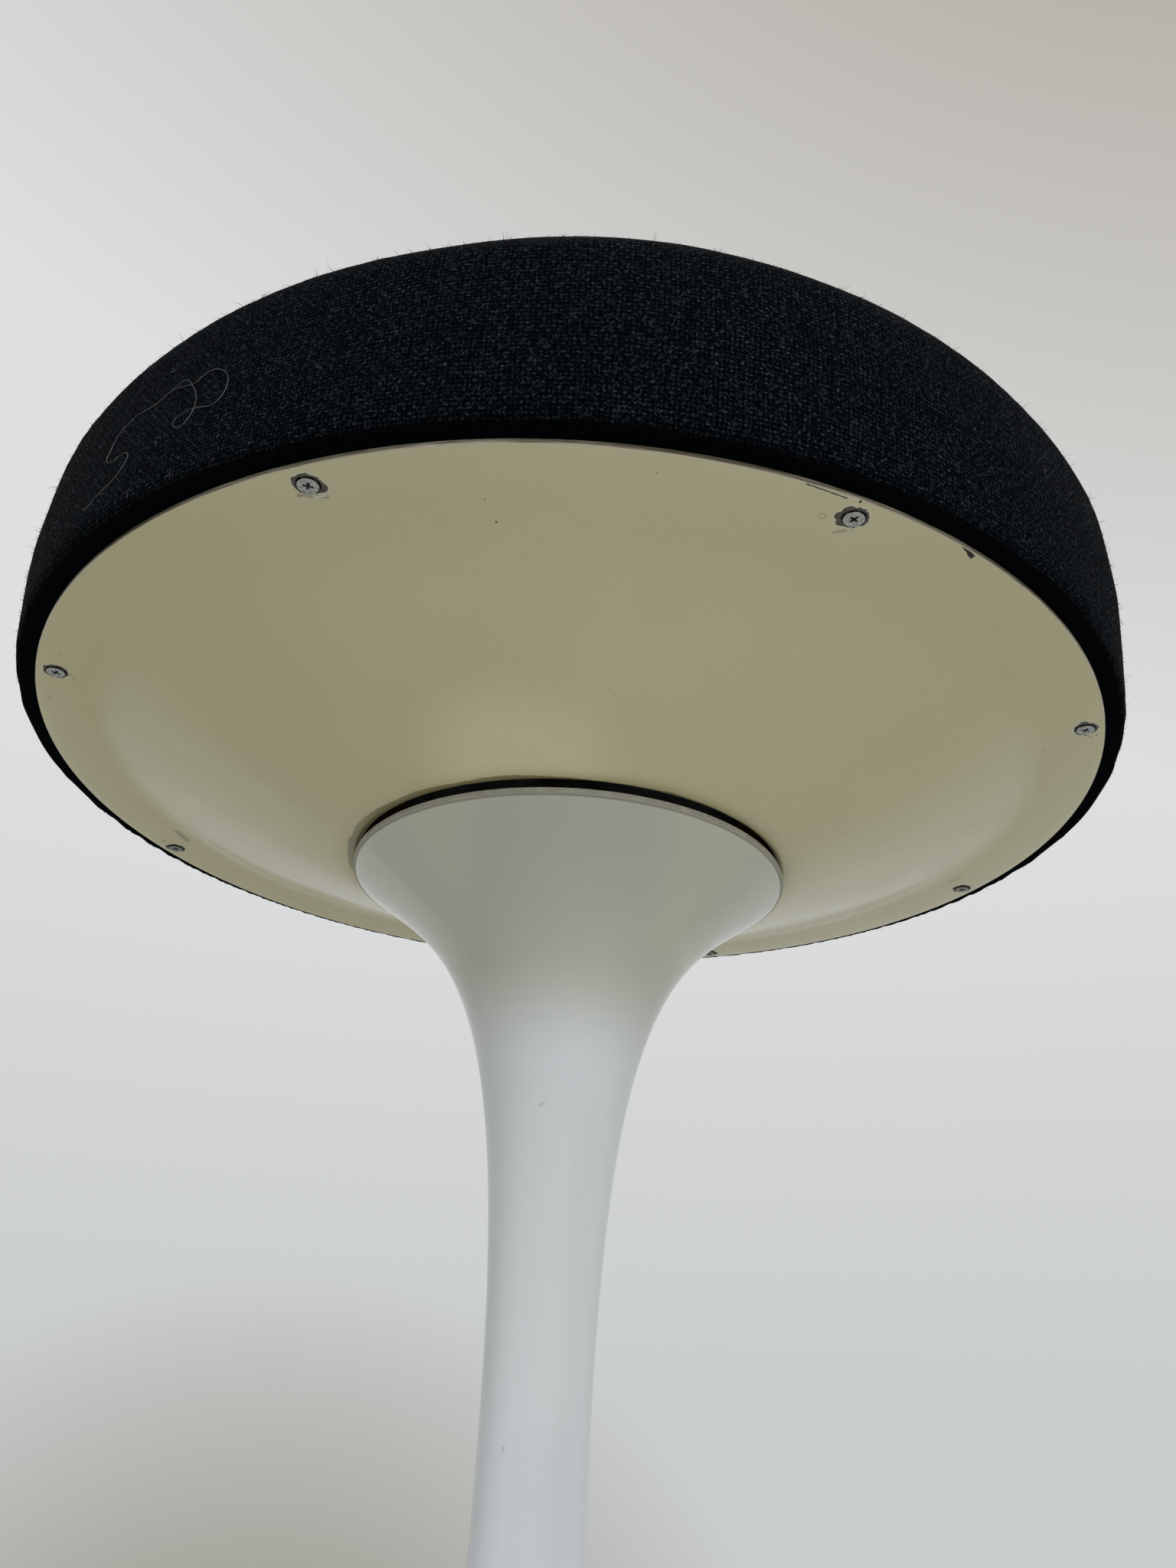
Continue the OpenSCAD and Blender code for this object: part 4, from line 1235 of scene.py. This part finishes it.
# %% Floor and world
FLOOR_R, FADE_FROM, FADE_TO, ROOM_LIGHT = 1.05, 700, 1030, 0.34
OVERHEAD, CORNER_SHADOW_AIM = (0.307, -0.154, 0.939), (-0.168, 0.943, -0.288)
bpy.ops.mesh.primitive_circle_add(vertices=96, radius=FLOOR_R, fill_type="NGON")
floor = named("floor")
ground = Finish("floor_pale", roughness=0.9)
ground.set("Base Color", ground.two_tone(ground.noise(0.004, 2), 0.3, 0.7, (206, 206, 204), (212, 212, 210)))
clear = ground.node("BsdfTransparent")
fade = ground.ease(ground.from_axis(), FADE_FROM, FADE_TO)
blend = ground.node("MixShader", inputs={0: fade, 1: Flow(ground, ground.shader.outputs[0]), 2: clear})
ground.tree.links.new(blend.socket, ground.tree.nodes["Material Output"].inputs[0])
floor.data.materials.append(ground.material)

world = bpy.data.worlds.new("pale_room")
bpy.context.scene.world = world
world.use_nodes = True
tree = world.node_tree
room = tree.nodes["Background"]
room.inputs[0].default_value = tone(244, 245, 246)
room.inputs[1].default_value = ROOM_LIGHT
wall = tree.nodes.new("ShaderNodeBackground")


class Room(Finish):
    """The world's nodes, wired by the same expressions."""

    def __init__(self, nodes):
        self.tree = nodes
        self.way = self.node("TexCoord", out="Generated")

    def away(self, aim, far, near=0.0):
        """1 where the view turns to the aim, and 0 where it is far from it, in radians."""
        lined_up = self.node("VectorMath", {"operation": "DOT_PRODUCT"}, {0: self.way, 1: aim}, out="Value")
        apart = lined_up.reckon("ARCCOSINE", lined_up)
        return self.node("MapRange", inputs={"Value": apart, "From Min": far, "From Max": near})


sky = Room(tree)
height = sky.split(sky.way)[2]
up_wall = sky.node("MapRange", inputs={"Value": height, "From Max": 0.45})
sky.link(wall.inputs[0], sky.coats(
    tone(201, 204, 204),
    (up_wall, (223, 223, 224)),
    (sky.away(OVERHEAD, 1.14, 0.2), (145, 136, 115)),
    # Painted shadow on the wall, low in one corner, also seen in reflections.
    (sky.away(CORNER_SHADOW_AIM, 0.378, 0.2), (168, 168, 160))))
path = tree.nodes.new("ShaderNodeLightPath")
rays = [Flow(sky, path.outputs[f"Is {kind} Ray"]) for kind in ("Camera", "Glossy", "Transmission")]
seen = rays[0].most(rays[1]).most(rays[2])
either = sky.node("MixShader", inputs={0: seen, 1: Flow(sky, room.outputs[0]), 2: Flow(sky, wall.outputs[0])})
tree.links.new(either.socket, tree.nodes["World Output"].inputs[0])
print("the floor reaches", round(floor.dimensions.x / 2, 2), "m")

# %% [markdown]
# Two large soft lamps stand for the ceiling light and for the window in front. The window is
# higher than the seat, so the stem gets more of it than the underside. Large lamps make soft
# shadows, and their level is low, so that pale paint doesn't clip.

# %% Lamps
def lamp(name, place, aim, size, power, colour):
    """A square soft lamp at a place, turned to its aim, both in metres."""
    bpy.ops.object.light_add(type="AREA", location=place)
    made = bpy.context.object
    made.name = name
    made.data.size, made.data.energy, made.data.color = size, power, tone(*colour)[:3]
    made.rotation_euler = (Vector(aim) - Vector(place)).to_track_quat("-Z", "Y").to_euler()
    return made


lamp("ceiling_lamp", (0.3, 0.6, 2.4), (0, 0, 0.3), 1.8, 10, (255, 252, 248))
lamp("window_lamp", (0.5, -2.05, 1.25), (0, 0, 0.2), 1.8, 36, (252, 253, 255))
print("two lamps set")

# %% [markdown]
# ## The camera
# The picture was taken from low down in front, looking up under the seat, a little turned and
# rolled. The lens and the shift of its centre were measured from the pan's rim and its screws.

# %% Camera
EYE = Vector((0, -0.40864, 0.14169))
YAW, PITCH, ROLL = (math.radians(a) for a in (2.877, 29.652, 2.186))
FOCUS, CENTRE_X, CENTRE_Y, WIDE, TALL, SENSOR = 1563.3, 824.26, 955.93, 1536, 2048, 36
ahead = Vector((math.sin(YAW) * math.cos(PITCH), math.cos(YAW) * math.cos(PITCH), math.sin(PITCH)))
level_right = Vector((math.cos(YAW), -math.sin(YAW), 0))
level_up = level_right.cross(ahead)
right = level_right * math.cos(ROLL) + level_up * math.sin(ROLL)
up = level_up * math.cos(ROLL) - level_right * math.sin(ROLL)
bpy.ops.object.camera_add(location=EYE)
camera = bpy.context.object
camera.rotation_euler = Matrix((right, up, -ahead)).transposed().to_euler()
camera.data.sensor_width = SENSOR
camera.data.lens = SENSOR * FOCUS / TALL
camera.data.shift_x = (WIDE / 2 - CENTRE_X) / TALL
camera.data.shift_y = (CENTRE_Y - TALL / 2) / TALL
camera.data.clip_start = 0.01
bpy.context.scene.camera = camera
bpy.context.scene.view_settings.view_transform = "Standard"
shift = [round(share, 4) for share in (camera.data.shift_x, camera.data.shift_y)]
print("lens", round(camera.data.lens, 2), "mm, shift", shift)
